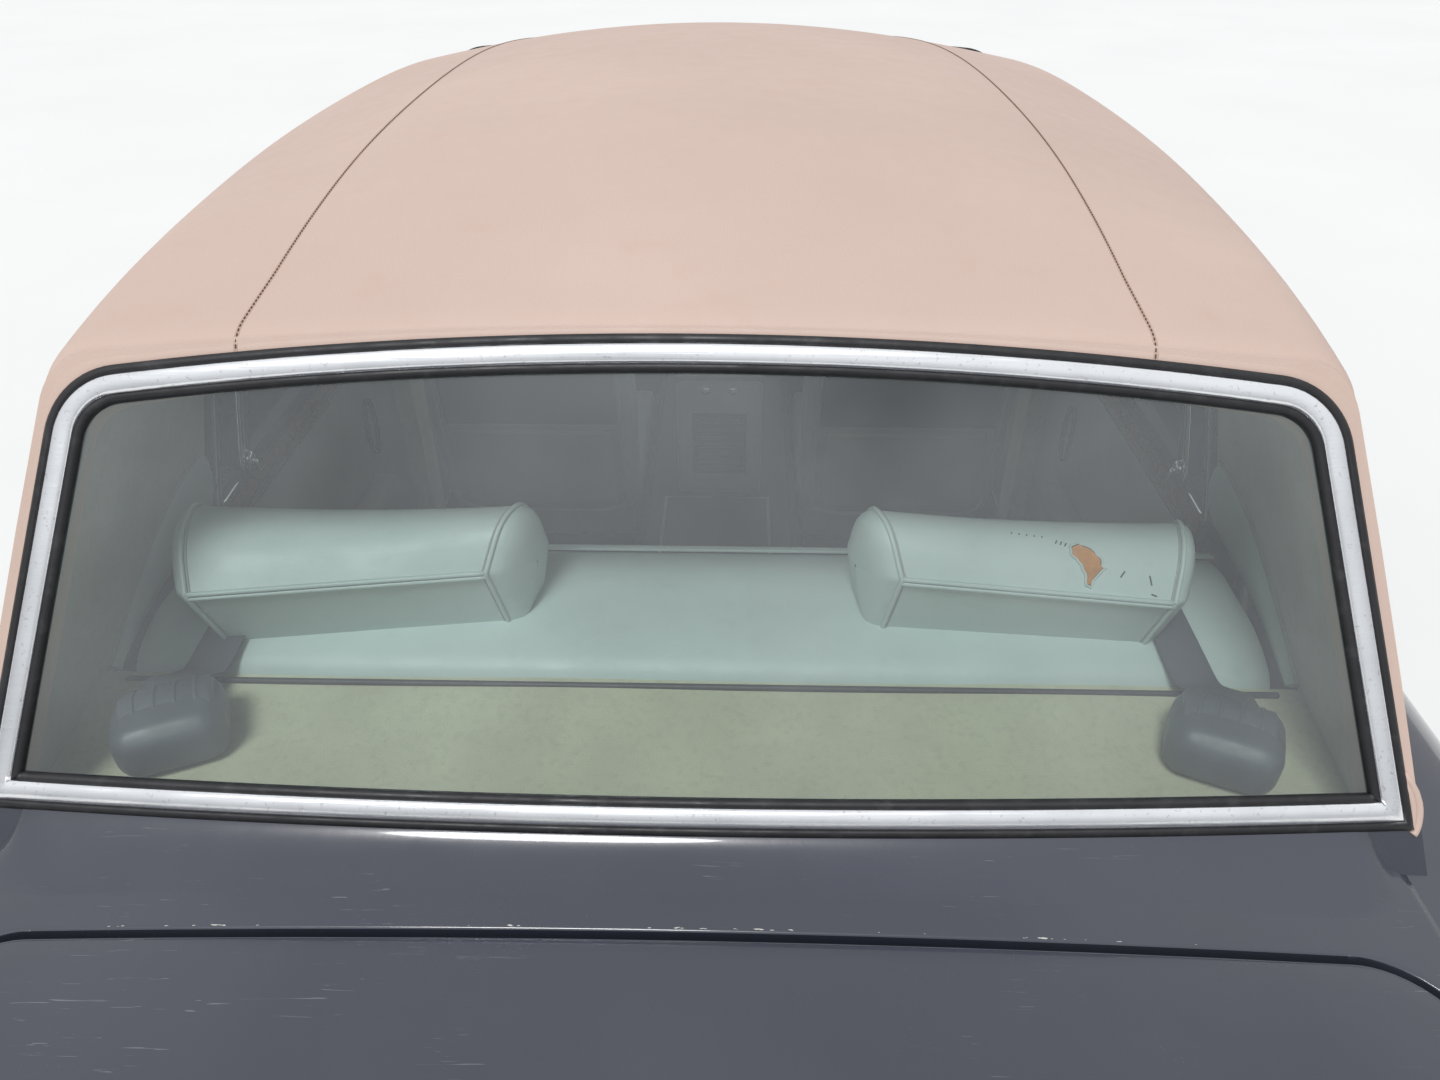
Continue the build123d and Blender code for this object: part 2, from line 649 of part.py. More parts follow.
def grille_outline(inset, low_y, high_y):
    """The grille's rounded outline, drawn back through the nose."""
    with BuildPart() as prism:
        with BuildSketch(Plane.XZ.offset(-low_y)):
            with Locations((0, (GRILLE_LOW_Z + GRILLE_HIGH_Z) / 2)):
                RectangleRounded(2 * (GRILLE_HALF - inset), GRILLE_HIGH_Z - GRILLE_LOW_Z - 2 * inset,
                                 GRILLE_CORNER - inset)
        extrude(amount=-(high_y - low_y))
    return prism.part


def lamp_cylinder(x, radius, low_y, high_y):
    with BuildPart() as cylinder:
        with BuildSketch(Plane.XZ.offset(-low_y)):
            with Locations((x, LAMP_Z)):
                Circle(radius)
        extrude(amount=-(high_y - low_y))
    return cylinder.part


with BuildPart() as front_panel:
    add(body_shell.part)
    add(front_panel_zone(), mode=Mode.INTERSECT)
    add(grille_outline(0, NOSE_Y - 50, NOSE_Y + 200), mode=Mode.SUBTRACT)
    for x, radius in LAMPS:
        for side in (1, -1):
            add(lamp_cylinder(side * x, radius, NOSE_Y - 50, NOSE_Y + 200), mode=Mode.SUBTRACT)
write(front_panel.part, "front_panel")

with BuildPart() as grille:
    add(grille_outline(FIT, NOSE_Y - 6, NOSE_Y - 6 + GRILLE_DEPTH))
    add(grille_outline(GRILLE_FRAME, NOSE_Y - 50, NOSE_Y + 200), mode=Mode.SUBTRACT)
    with Locations((0, NOSE_Y + GRILLE_DEPTH / 2, (GRILLE_LOW_Z + GRILLE_HIGH_Z) / 2)):
        with GridLocations(2 * (GRILLE_HALF - GRILLE_FRAME) / (SLAT_COUNT + 1), 1, SLAT_COUNT, 1):
            Box(SLAT_WIDTH, GRILLE_DEPTH - 16, GRILLE_HIGH_Z - GRILLE_LOW_Z - 2 * GRILLE_FRAME + 2)
        Box(2 * (GRILLE_HALF - GRILLE_FRAME) + 2, GRILLE_DEPTH - 12, 10)
write(grille.part, "grille")

LAMP_DEPTH = 70
LAMP_BULGE = 14


def headlamp(x, radius):
    """A round lamp with a domed front."""
    face_y = NOSE_Y + 20 * abs(x) / HALF_WIDTH
    with BuildPart() as lamp:
        add(lamp_cylinder(x, radius - FIT, face_y - LAMP_BULGE, face_y + LAMP_DEPTH))
        front = lamp.faces().sort_by(Axis.Y)[0]
        chamfer(front.edges(), length=3 * LAMP_BULGE, length2=LAMP_BULGE - 2, reference=front)
    return lamp.part


with BuildPart() as headlamps:
    for x, radius in LAMPS:
        add(headlamp(x, radius))
        add(headlamp(-x, radius))
write(headlamps.part, "headlamps")

# Scuttle, firewall and the closed box under the windscreen
with BuildPart() as cowl_box:
    add(block((-HALF_WIDTH, FIREWALL_Y, COWL_Z), (HALF_WIDTH, WINDSCREEN_Y + 50, COWL_Z + 20)))
    add(block((-HALF_WIDTH, WINDSCREEN_Y - 5, COWL_Z), (HALF_WIDTH, WINDSCREEN_Y + 15, WINDSCREEN_Z)))
    add(block((-HALF_WIDTH, FIREWALL_Y, SILL_BOTTOM_Z + FLOOR_THICKNESS),
              (HALF_WIDTH, FIREWALL_Y + FLOOR_THICKNESS, COWL_Z + 20)))
    add(INNER, mode=Mode.INTERSECT)
    add(both_sides(block((SILL_INNER_X, FIREWALL_Y - 10, 0), (HALF_WIDTH + 60, FIREWALL_Y + 60, SILL_TOP_Z))),
        mode=Mode.SUBTRACT)
    add(block((-TUNNEL_HALF, FIREWALL_Y - 10, 0), (TUNNEL_HALF, FIREWALL_Y + 60, TUNNEL_TOP_Z)), mode=Mode.SUBTRACT)

with BuildPart() as scuttle:
    add(body_shell.part)
    add(block((-HALF_WIDTH, FRONT_DOOR_Y - PANEL_GAP, COWL_Z), (HALF_WIDTH, WINDSCREEN_Y + 15, 1100)),
        mode=Mode.INTERSECT)
    add(bonnet_zone(PANEL_GAP), mode=Mode.SUBTRACT)
    add(CABIN_INNER, mode=Mode.SUBTRACT)
    add(cowl_box.part)
    add(both_sides(door_space()), mode=Mode.SUBTRACT)
write(scuttle.part, "scuttle")

# Rear wings, deck, tail panel and tail lamps
LAMP_POCKET = 12
TAIL_LAMP_LOW = (700, TAIL_Y - 190, 600)
TAIL_LAMP_HIGH = (HALF_WIDTH, TAIL_Y + 60, 800)
POCKET_FLOOR = lower_body(LAMP_POCKET)


def rear_wing_zone():
    """Behind the rear door, and ahead of it below the arch's lip."""
    with BuildPart() as zone:
        add(block((0, REAR_WING_Y, SILL_TOP_Z), (HALF_WIDTH + 60, TAIL_Y + 60, 1100)))
        add(cross_cylinder(REAR_AXLE_Y, AXLE_Z, REAR_ARCH_RADIUS + LIP, 0, HALF_WIDTH + 60))
        add(block((0, 0, 0), (HALF_WIDTH + 60, TAIL_Y + 60, SILL_TOP_Z)), mode=Mode.SUBTRACT)
    return zone.part


with BuildPart() as tail_lamp:
    add(ABOVE_BODY)
    add(POCKET_FLOOR, mode=Mode.SUBTRACT)
    add(block([value + FIT for value in TAIL_LAMP_LOW], TAIL_LAMP_HIGH[:2] + (TAIL_LAMP_HIGH[2] - FIT,)),
        mode=Mode.INTERSECT)
write(both_sides(tail_lamp.part), "tail_lamps")

with BuildPart() as tail_lamp_pocket:
    add(block(TAIL_LAMP_LOW, TAIL_LAMP_HIGH))
    add(POCKET_FLOOR, mode=Mode.SUBTRACT)

with BuildPart() as quarter:
    add(OUTER)
    add(trim_zone(0), mode=Mode.INTERSECT)

with BuildPart() as rear_wing:
    add(body_shell.part)
    add(quarter.part)
    add(rear_wing_zone(), mode=Mode.INTERSECT)
    add(boot_lid_zone(LID_GAP), mode=Mode.SUBTRACT)
    add(block((0, 0, 0), (BOOT_LID_HALF + LID_GAP, BOOT_LID_Y + 100, 1100)), mode=Mode.SUBTRACT)
    add(block((0, TAIL_Y - 200, 0), (BOOT_LID_HALF + LID_GAP, TAIL_Y + 60, BOOT_LID_BOTTOM_Z)), mode=Mode.SUBTRACT)
    add(cross_cylinder(REAR_AXLE_Y, AXLE_Z, REAR_ARCH_RADIUS, 0, HALF_WIDTH + 60), mode=Mode.SUBTRACT)
    add(tail_lamp_pocket.part, mode=Mode.SUBTRACT)
    add(wheelhouse(REAR_AXLE_Y, REAR_ARCH_RADIUS, REAR_WHEELHOUSE_INNER_X, WALL_LOW_Z))
    add(CABIN_INNER, mode=Mode.SUBTRACT)
write_mirrored(rear_wing.part, "rear_wing")

with BuildPart() as rear_deck:
    add(body_shell.part)
    add(block((-BOOT_LID_HALF - LID_GAP, BULKHEAD_Y, 800), (BOOT_LID_HALF + LID_GAP, BOOT_LID_Y + 100, 1100)),
        mode=Mode.INTERSECT)
    add(boot_lid_zone(LID_GAP), mode=Mode.SUBTRACT)
    add(CABIN_INNER, mode=Mode.SUBTRACT)
    add(block((-1000, BULKHEAD_Y, 0), (1000, REAR_SCREEN_Y - 60, 1100)), mode=Mode.SUBTRACT)
write(rear_deck.part, "rear_deck")

with BuildPart() as tail_panel:
    add(body_shell.part)
    add(block((-BOOT_LID_HALF - LID_GAP, TAIL_Y - 200, SILL_TOP_Z), (BOOT_LID_HALF + LID_GAP, TAIL_Y + 60,
              BOOT_LID_BOTTOM_Z - LID_GAP)), mode=Mode.INTERSECT)
write(tail_panel.part, "tail_panel")

# Bumpers: a bright blade that wraps round each end, on two irons
BUMPER_LOW_Z = 440
BUMPER_HEIGHT = 115
BUMPER_DEPTH = 58
BUMPER_SIDE = 24
BUMPER_CORNER = 120
BUMPER_BOW = 30
IRON_X = 420
IRON_WIDTH = 60


def bumper_outline(half, end, bow, corner, back_y):
    """A bumper's outline in plan: its face at the end, its sides running back along the wings."""
    way = 1 if end > 0 else -1
    with BuildSketch(Plane.XY.offset(BUMPER_LOW_Z)) as sketch:
        with BuildLine():
            face = ThreePointArc((-half, end - way * bow), (0, end), (half, end - way * bow))
            Polyline(face @ 1, (half, back_y), (-half, back_y), face @ 0)
        make_face()
        ends = sketch.vertices().group_by(Axis.Y)
        fillet(ends[-1] if way > 0 else ends[0], corner)
    return sketch.sketch


def bumper(end, back_y):
    way = 1 if end > 0 else -1
    with BuildPart() as blade:
        add(bumper_outline(HALF_WIDTH - 1, end, BUMPER_BOW, BUMPER_CORNER, back_y))
        extrude(amount=BUMPER_HEIGHT)
        add(bumper_outline(HALF_WIDTH - BUMPER_SIDE, end - way * BUMPER_DEPTH, BUMPER_BOW,
                           BUMPER_CORNER - BUMPER_SIDE, back_y - way * 100))
        extrude(amount=BUMPER_HEIGHT, mode=Mode.SUBTRACT)
        for side in (1, -1):
            low_y, high_y = sorted((end - way * (BUMPER_DEPTH - 1 + BUMPER_BOW / 4), end - way * (BUMPER_REACH + 60)))
            add(block((side * IRON_X - IRON_WIDTH / 2, low_y, BUMPER_LOW_Z + 30),
                      (side * IRON_X + IRON_WIDTH / 2, high_y, BUMPER_LOW_Z + BUMPER_HEIGHT - 30)))
        add(OUTER, mode=Mode.SUBTRACT)
    return blade.part


FRONT_BUMPER_BACK_Y = FRONT_AXLE_Y - FRONT_ARCH_RADIUS - 40
REAR_BUMPER_BACK_Y = REAR_AXLE_Y + REAR_ARCH_RADIUS + 60
write(bumper(FRONT_Y, FRONT_BUMPER_BACK_Y), "front_bumper")
write(bumper(REAR_Y, REAR_BUMPER_BACK_Y), "rear_bumper")

# Floor pan: toe board, floor, heel board, seat pan, boot floor, bulkhead, tunnel and sills
AXLE_PAN_Z = 480
AXLE_PAN_START_Y = 1130
AXLE_PAN_END_Y = 1640
FLOOR_HALF = 735
FLOOR_STEPS = (
    # the underside's outline, as places along the car and heights
    (FIREWALL_Y, SILL_BOTTOM_Z), (HEEL_Y, SILL_BOTTOM_Z), (HEEL_Y, SEAT_PAN_Z), (AXLE_PAN_START_Y, SEAT_PAN_Z),
    (AXLE_PAN_START_Y, AXLE_PAN_Z), (AXLE_PAN_END_Y, AXLE_PAN_Z), (AXLE_PAN_END_Y, BOOT_FLOOR_Z),
    (TAIL_Y - BODY_WALL - 8, BOOT_FLOOR_Z),
)
with BuildPart() as inside_body:
    add(INNER)
    add(block((-FLOOR_HALF, FIREWALL_Y, SILL_BOTTOM_Z),
              (FLOOR_HALF, HEEL_Y + FLOOR_THICKNESS, SILL_BOTTOM_Z + 2 * BODY_WALL)))
with BuildPart() as floor_pan:
    with BuildSketch(Plane.YZ):
        with BuildLine():
            Polyline(*FLOOR_STEPS)
            offset(amount=FLOOR_THICKNESS, side=Side.LEFT, kind=Kind.INTERSECTION)
        make_face()
    extrude(amount=FLOOR_HALF, both=True)
    add(block((-FLOOR_HALF, BULKHEAD_Y, AXLE_PAN_Z + 1), (FLOOR_HALF, BULKHEAD_Y + FLOOR_THICKNESS, SHELF_Z - 18)))
    add(block((-TUNNEL_HALF, FIREWALL_Y, SILL_BOTTOM_Z), (TUNNEL_HALF, HEEL_Y, TUNNEL_TOP_Z)))
    inside = TUNNEL_HALF - FLOOR_THICKNESS
    add(block((-inside, FIREWALL_Y - 10, 0), (inside, HEEL_Y + 30, SEAT_PAN_Z)), mode=Mode.SUBTRACT)
    add(block((-inside, FIREWALL_Y - 10, 0), (inside, HEEL_Y - FLOOR_THICKNESS, TUNNEL_TOP_Z - FLOOR_THICKNESS)),
        mode=Mode.SUBTRACT)
    add(inside_body.part, mode=Mode.INTERSECT)
    for side in (1, -1):
        low_x, high_x = sorted((side * (REAR_WHEELHOUSE_INNER_X - LINING), side * 1000))
        add(cross_cylinder(REAR_AXLE_Y, AXLE_Z, REAR_ARCH_RADIUS + LINING, low_x, high_x), mode=Mode.SUBTRACT)

JACK_PAD = 70
JACK_PAD_DROP = 10
JACK_X = 770
JACK_FRONT_Y = -1080
JACK_REAR_Y = 800
with BuildPart() as sill:
    add(OUTER)
    add(block((SILL_INNER_X, FRONT_AXLE_Y + WHEELHOUSE_RADIUS + LINING + 5, 0), (HALF_WIDTH + 60, REAR_AXLE_Y, SILL_TOP_Z)),
        mode=Mode.INTERSECT)
    add(cross_cylinder(REAR_AXLE_Y, AXLE_Z, REAR_ARCH_RADIUS, 0, 1000), mode=Mode.SUBTRACT)
    for y in (JACK_FRONT_Y, JACK_REAR_Y):
        add(block((JACK_X - JACK_PAD / 2, y - JACK_PAD / 2, SILL_BOTTOM_Z - JACK_PAD_DROP),
                  (JACK_X + JACK_PAD / 2, y + JACK_PAD / 2, SILL_BOTTOM_Z + 5)))
with BuildPart() as floor_with_sills:
    add(floor_pan.part)
    add(both_sides(sill.part))
write(floor_with_sills.part, "floor_pan")

# Middle pillars, inboard of the doors
POST_Y = (60, 145)
POST_DEPTH = 42


def post_slab(clearance):
    """The cabin's side wall at the middle pillar, this far inboard of the doors' inner face."""
    with BuildPart() as slab:
        add(cabin(clearance))
        add(cabin(clearance + POST_DEPTH), mode=Mode.SUBTRACT)
    return slab.part


def below_waist_band():
    """The doors' lower parts, with the pillar's clearance, up to just above their shoulders."""
    with BuildPart() as band:
        add(trim_zone(POST_CLEARANCE))
        add(block((0, POST_Y[0] - 10, 0), (HALF_WIDTH + 90, POST_Y[1] + 10, WAIST_Z + 40)), mode=Mode.INTERSECT)
    return band.part


with BuildPart() as post_top:
    add(post_slab(ROOF_THICKNESS))
    add(block((0, POST_Y[0], DOOR_TOP_Z + PANEL_GAP), (HALF_WIDTH, POST_Y[1], DOOR_TOP_Z + 30)), mode=Mode.INTERSECT)
with BuildPart() as post_middle:
    add(post_slab(FRAME_DEPTH + POST_CLEARANCE))
    add(block((0, POST_Y[0], WAIST_Z - 20), (HALF_WIDTH, POST_Y[1], DOOR_TOP_Z + PANEL_GAP)), mode=Mode.INTERSECT)
with BuildPart() as middle_pillar:
    add(block((TRIM_MIDDLE - POST_CLEARANCE - POST_DEPTH, POST_Y[0], SILL_TOP_Z),
              (TRIM_MIDDLE - POST_CLEARANCE, POST_Y[1], WAIST_Z)))
    add(post_middle.part)
    add(below_waist_band(), mode=Mode.SUBTRACT)
    add(post_top.part)
write(both_sides(middle_pillar.part), "middle_pillars")

# Dashboard with its steering column, and the console
COLUMN_X = -370
WHEEL_CENTRE = (COLUMN_X, -330, 840)
COLUMN_TILT = 25
COLUMN_AXIS = (0, cos(radians(COLUMN_TILT)), sin(radians(COLUMN_TILT)))
COWL_END_Y = WINDSCREEN_Y + 50
DASH_HALF = 655
with BuildPart() as dashboard:
    with BuildSketch(Plane.YZ):
        with BuildLine():
            Polyline((COWL_END_Y, 640), (-500, 640), (-455, 780), (-480, 935), (-530, 980), (COWL_END_Y, 980),
                     close=True)
        make_face()
    extrude(amount=DASH_HALF, both=True)
    with BuildSketch(Plane(origin=WHEEL_CENTRE, z_dir=COLUMN_AXIS).offset(-190)):
        Circle(24)
    extrude(amount=190 - 45)
write(dashboard.part, "dashboard")

CONSOLE_HALF = 95
with BuildPart() as console:
    with BuildSketch(Plane.YZ):
        with BuildLine():
            Polyline((-600, TUNNEL_TOP_Z), (-600, 639.7), (-430, 639.7), (40, 650), (60, 790),
                     (150, 800), (150, TUNNEL_TOP_Z), close=True)
        make_face()
    extrude(amount=CONSOLE_HALF, both=True)
write(console.part, "console")

RIM_RING_RADIUS = 200
with BuildPart() as steering_wheel:
    with BuildSketch(Plane.XZ):
        with Locations((RIM_RING_RADIUS, 0)):
            Circle(14)
    revolve(axis=Axis.Z)
    with BuildSketch(Plane.XY.offset(-44)):
        Circle(34)
    extrude(amount=24)
    with BuildSketch(Plane.XY.offset(-24)):
        Circle(70)
    extrude(amount=32)
    with BuildSketch(Plane.XY.offset(-12)):
        Rectangle(2 * RIM_RING_RADIUS - 10, 34)
    extrude(amount=14)
with BuildPart() as placed_steering_wheel:
    add(Plane(origin=WHEEL_CENTRE, x_dir=(1, 0, 0), z_dir=COLUMN_AXIS).location * steering_wheel.part)
write(placed_steering_wheel.part, "steering_wheel")

# Seats
FLOOR_TOP_Z = SILL_BOTTOM_Z + FLOOR_THICKNESS
FRONT_SEAT_X = 415
FRONT_SEAT_HALF = 225
with BuildPart() as front_seat:
    with BuildSketch(Plane.YZ.offset(FRONT_SEAT_X - FRONT_SEAT_HALF)):
        with BuildLine():
            Polyline((-380, FLOOR_TOP_Z), (-380, 340), (-430, 400), (-430, 500), (60, 470), (140, 960), (215, 975),
                     (255, 930), (165, 420), (120, FLOOR_TOP_Z), close=True)
        make_face()
    extrude(amount=2 * FRONT_SEAT_HALF)
write(both_sides(front_seat.part), "front_seats")

REAR_SEAT_HALF = 690
PAN_TOP_Z = SEAT_PAN_Z + FLOOR_THICKNESS
with BuildPart() as rear_seat:
    with BuildSketch(Plane.YZ):
        with BuildLine():
            Polyline((590, PAN_TOP_Z), (575, 440), (590, 525), (1020, 485), (1100, 1000), (1325, 1000),
                     (1325, AXLE_PAN_Z + FLOOR_THICKNESS), (1100, AXLE_PAN_Z + FLOOR_THICKNESS), (1100, PAN_TOP_Z),
                     close=True)
        make_face()
    extrude(amount=REAR_SEAT_HALF, both=True)
    add(both_sides(trim_zone(12)), mode=Mode.SUBTRACT)
    add(block((-TUNNEL_HALF - FIT, 0, 0), (TUNNEL_HALF + FIT, HEEL_Y + FIT, TUNNEL_TOP_Z + FIT)),
        mode=Mode.SUBTRACT)
    add(both_sides(cross_cylinder(REAR_AXLE_Y, AXLE_Z, REAR_ARCH_RADIUS + LINING + FIT,
                                  REAR_WHEELHOUSE_INNER_X - LINING - FIT, HALF_WIDTH)), mode=Mode.SUBTRACT)
write(rear_seat.part, "rear_seat")

HEADREST_X = 365
HEADREST_HALF = 200
with BuildPart() as headrest:
    with BuildSketch(Plane.YZ.offset(HEADREST_X - HEADREST_HALF)):
        with BuildLine():
            Polyline((1150, 1000), (1300, 1000), (1300, 1095), (1268, 1180), (1235, 1198), (1200, 1190), (1165, 1130),
                     close=True)
        make_face()
    extrude(amount=2 * HEADREST_HALF)
write(both_sides(headrest.part), "rear_headrests")

with BuildPart() as parcel_shelf:
    add(block((-1000, BULKHEAD_Y - 20, SHELF_Z - 18), (1000, 1700, SHELF_Z)))
    add(cabin(ROOF_THICKNESS + FIT), mode=Mode.INTERSECT)
    add(INNER, mode=Mode.INTERSECT)
    add(quarter.part, mode=Mode.SUBTRACT)
write(parcel_shelf.part, "parcel_shelf")

REEL_LOW = (560, 1385, SHELF_Z)
REEL_HIGH = (660, 1475, SHELF_Z + 60)
write(both_sides(block(REEL_LOW, REEL_HIGH)), "belt_reels")

# Engine, radiator and running gear
RAIL_X = (340, 400)
RAIL_LOW_Z = 300
RAIL_TOP_Z = 380
BEAM_HALF_Y = 60
with BuildPart() as engine:
    add(block((-260, FRONT_AXLE_Y - 550, RAIL_LOW_Z), (260, FRONT_AXLE_Y + 250, 850)))
write(engine.part, "engine")

RADIATOR_Y = NOSE_Y + 85
with BuildPart() as radiator:
    add(block((-335, RADIATOR_Y, RAIL_TOP_Z), (335, RADIATOR_Y + 60, 880)))
write(radiator.part, "radiator")

with BuildPart() as front_subframe:
    add(block((-420, FRONT_AXLE_Y - BEAM_HALF_Y, 230), (420, FRONT_AXLE_Y + BEAM_HALF_Y, RAIL_LOW_Z)))
    add(block((-RAIL_X[1], RADIATOR_Y - 10, RAIL_LOW_Z), (RAIL_X[1], RADIATOR_Y + 70, RAIL_TOP_Z)))
    for side in (1, -1):
        low_x, high_x = sorted((side * RAIL_X[0], side * RAIL_X[1]))
        add(block((low_x, RADIATOR_Y - 10, RAIL_LOW_Z), (high_x, FIREWALL_Y, RAIL_TOP_Z)))
        add(block((low_x, FRONT_AXLE_Y - 40, RAIL_LOW_Z), (high_x, FRONT_AXLE_Y + 40, STEER_TOP_Z + 20)))
        for low_z, high_z in ((STEER_BOTTOM_Z - 16, STEER_BOTTOM_Z - FIT), (STEER_TOP_Z + FIT, STEER_TOP_Z + 16)):
            low_x, high_x = sorted((side * RAIL_X[0], side * STEER_AXIS_X))
            add(block((low_x, FRONT_AXLE_Y - 30, low_z), (high_x, FRONT_AXLE_Y + 30, high_z)))
            add(upright_cylinder(side * STEER_AXIS_X, FRONT_AXLE_Y, 30, low_z, high_z))
        add(upright_cylinder(side * 540, FRONT_AXLE_Y, 48, STEER_BOTTOM_Z - 16, 700))
    add(block((-260, FRONT_AXLE_Y - 600, RAIL_LOW_Z), (260, FRONT_AXLE_Y + 300, 900)), mode=Mode.SUBTRACT)
write(front_subframe.part, "front_subframe")

ARM_LOW_Z = 300
with BuildPart() as rear_suspension:
    add(block((-600, 830, ARM_LOW_Z), (600, 900, SEAT_PAN_Z)))
    add(block((-80, 820, 0), (80, 910, SEAT_PAN_Z)), mode=Mode.SUBTRACT)
    add(block((-200, 830, ARM_LOW_Z), (200, 900, ARM_LOW_Z + 20)))
    for side in (1, -1):
        add(plan_prism([(side * x, y) for x, y in ((330, 880), (565, 880), (572, REAR_AXLE_Y - 80),
                                                    (612, REAR_AXLE_Y + 60), (545, REAR_AXLE_Y + 60))], ARM_LOW_Z, ARM_LOW_Z + 62))
        low_x, high_x = sorted((side * 500, side * 690))
        add(cross_cylinder(REAR_AXLE_Y, AXLE_Z, HUB_RADIUS, low_x, high_x))
        low_x, high_x = sorted((side * 540, side * 760))
        add(cross_cylinder(REAR_AXLE_Y, AXLE_Z, SPINDLE_RADIUS, low_x, high_x))
        add(upright_cylinder(side * 515, REAR_AXLE_Y - 130, 50, ARM_LOW_Z + 30, AXLE_PAN_Z))
write(rear_suspension.part, "rear_suspension")

with BuildPart() as driveline:
    with BuildSketch(Plane.YZ):
        with BuildLine():
            Polyline((FRONT_AXLE_Y + 250, AXLE_Z), (FRONT_AXLE_Y + 250, AXLE_Z + 110), (-1150, AXLE_Z + 100),
                     (-950, AXLE_Z + 65), (-930, AXLE_Z + 28), (1220, AXLE_Z + 28), (1235, AXLE_Z + 90),
                     (1290, AXLE_Z + 118), (1400, AXLE_Z + 118), (1450, AXLE_Z + 70), (1450, AXLE_Z), close=True)
        make_face()
    revolve(axis=Axis((0, 0, AXLE_Z), (0, 1, 0)))
    add(cross_cylinder(REAR_AXLE_Y, AXLE_Z, 20, FIT - 500, 500 - FIT))
write(driveline.part, "driveline")

PIPE_X = 250
PIPE_Z = 184
PIPE_RADIUS = 26
TAIL_PIPE_Y = REAR_Y - 60
with BuildPart() as exhaust:
    with BuildSketch(Plane.XZ.offset(-(FRONT_AXLE_Y + 300))):
        with Locations((PIPE_X, PIPE_Z)):
            Circle(PIPE_RADIUS)
    extrude(amount=-(TAIL_PIPE_Y - FRONT_AXLE_Y - 300))
    for y in (200, 1900):
        with Locations((PIPE_X, y, PIPE_Z)):
            Box(200, 560, 110)
    add(block((PIPE_X - 20, 1980, PIPE_Z), (PIPE_X + 20, 2020, BOOT_FLOOR_Z)))
    add(block((-1000, -3000, SILL_BOTTOM_Z), (1000, AXLE_PAN_END_Y - 100, 600)), mode=Mode.SUBTRACT)
write(exhaust.part, "exhaust")

with BuildPart() as towing_eye:
    with BuildSketch(Plane.YZ.offset(362)) as plate:
        with BuildLine():
            Polyline((RADIATOR_Y - 70, 262), (RADIATOR_Y - 10, RAIL_TOP_Z - 20), (RADIATOR_Y - 10, 250), close=True)
        make_face()
        with Locations((RADIATOR_Y - 50, 270)):
            Circle(28)
            Circle(14, mode=Mode.SUBTRACT)
    extrude(amount=16)
write(towing_eye.part, "towing_eye")

# Steering knuckles, wheels and tyres
HUB_INNER_X = 45
with BuildPart() as knuckle:
    add(upright_cylinder(STEER_AXIS_X, FRONT_AXLE_Y, UPRIGHT_RADIUS, STEER_BOTTOM_Z, STEER_TOP_Z))
    add(cross_cylinder(FRONT_AXLE_Y, AXLE_Z, SPINDLE_RADIUS, STEER_AXIS_X, TRACK / 2 + 10))
    add(cross_cylinder(FRONT_AXLE_Y, AXLE_Z, HUB_RADIUS - 8, STEER_AXIS_X, TRACK / 2 - HUB_INNER_X - 12))
write_mirrored(knuckle.part, "knuckle")


def wheel(axle_y):
    """A left wheel: its rim, vented disc, hub with a blind bore, brake disc and domed cap."""
    middle = TRACK / 2
    with BuildPart() as disc:
        with BuildSketch(Plane.XZ):
            with BuildLine():
                Polyline((-95, RIM_RADIUS + 20), (-88, RIM_RADIUS + 20), (-82, RIM_RADIUS), (82, RIM_RADIUS),
                         (88, RIM_RADIUS + 20), (95, RIM_RADIUS + 20), (95, RIM_RADIUS + 12), (90, RIM_RADIUS - 10),
                         (40, RIM_RADIUS - 14), (46, 120), (62, 96), (72, 60), (76, 0), (14, 0),
                         (14, SPINDLE_RADIUS + FIT), (-HUB_INNER_X, SPINDLE_RADIUS + FIT), (-HUB_INNER_X, BRAKE_RADIUS),
                         (1 - HUB_INNER_X + 10, BRAKE_RADIUS), (1 - HUB_INNER_X + 10, HUB_RADIUS), (28, HUB_RADIUS),
                         (34, 110), (26, RIM_RADIUS - 16), (-90, RIM_RADIUS - 10), (-95, RIM_RADIUS + 12), close=True)
            make_face()
        revolve(axis=Axis.X)
        with Locations(Plane.YZ):
            with PolarLocations(140, 14):
                Cylinder(11, 160)
    with BuildPart() as placed:
        add(Pos(middle, axle_y, AXLE_Z) * disc.part)
    return placed.part


def tyre(axle_y):
    half = TYRE_WIDTH / 2
    bead = RIM_RADIUS + FIT
    with BuildPart() as ring:
        with BuildSketch(Plane.XZ):
            with BuildLine():
                wall = ThreePointArc((82 - FIT, bead), (half, RIM_RADIUS + 85), (half - 18, TYRE_RADIUS - 22))
                shoulder = ThreePointArc(wall @ 1, (half - 26, TYRE_RADIUS - 9), (half - 42, TYRE_RADIUS - 3))
                tread = ThreePointArc(shoulder @ 1, (0, TYRE_RADIUS), (42 - half, TYRE_RADIUS - 3))
                other_shoulder = ThreePointArc(tread @ 1, (26 - half, TYRE_RADIUS - 9), (18 - half, TYRE_RADIUS - 22))
                other = ThreePointArc(other_shoulder @ 1, (-half, RIM_RADIUS + 85), (FIT - 82, bead))
                Line(other @ 1, wall @ 0)
            make_face()
        revolve(axis=Axis.X)
    with BuildPart() as placed:
        add(Pos(TRACK / 2, axle_y, AXLE_Z) * ring.part)
        add(wheel(axle_y), mode=Mode.SUBTRACT)
    return placed.part


for place, axle_y in (("front", FRONT_AXLE_Y), ("rear", REAR_AXLE_Y)):
    write_mirrored(wheel(axle_y), "wheel_" + place)
    write_mirrored(tyre(axle_y), "tyre_" + place)
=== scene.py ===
from math import cos, hypot, pi, radians, sin, sqrt, tan

import bmesh
import bpy
import numpy as np
from mathutils import Matrix, Vector

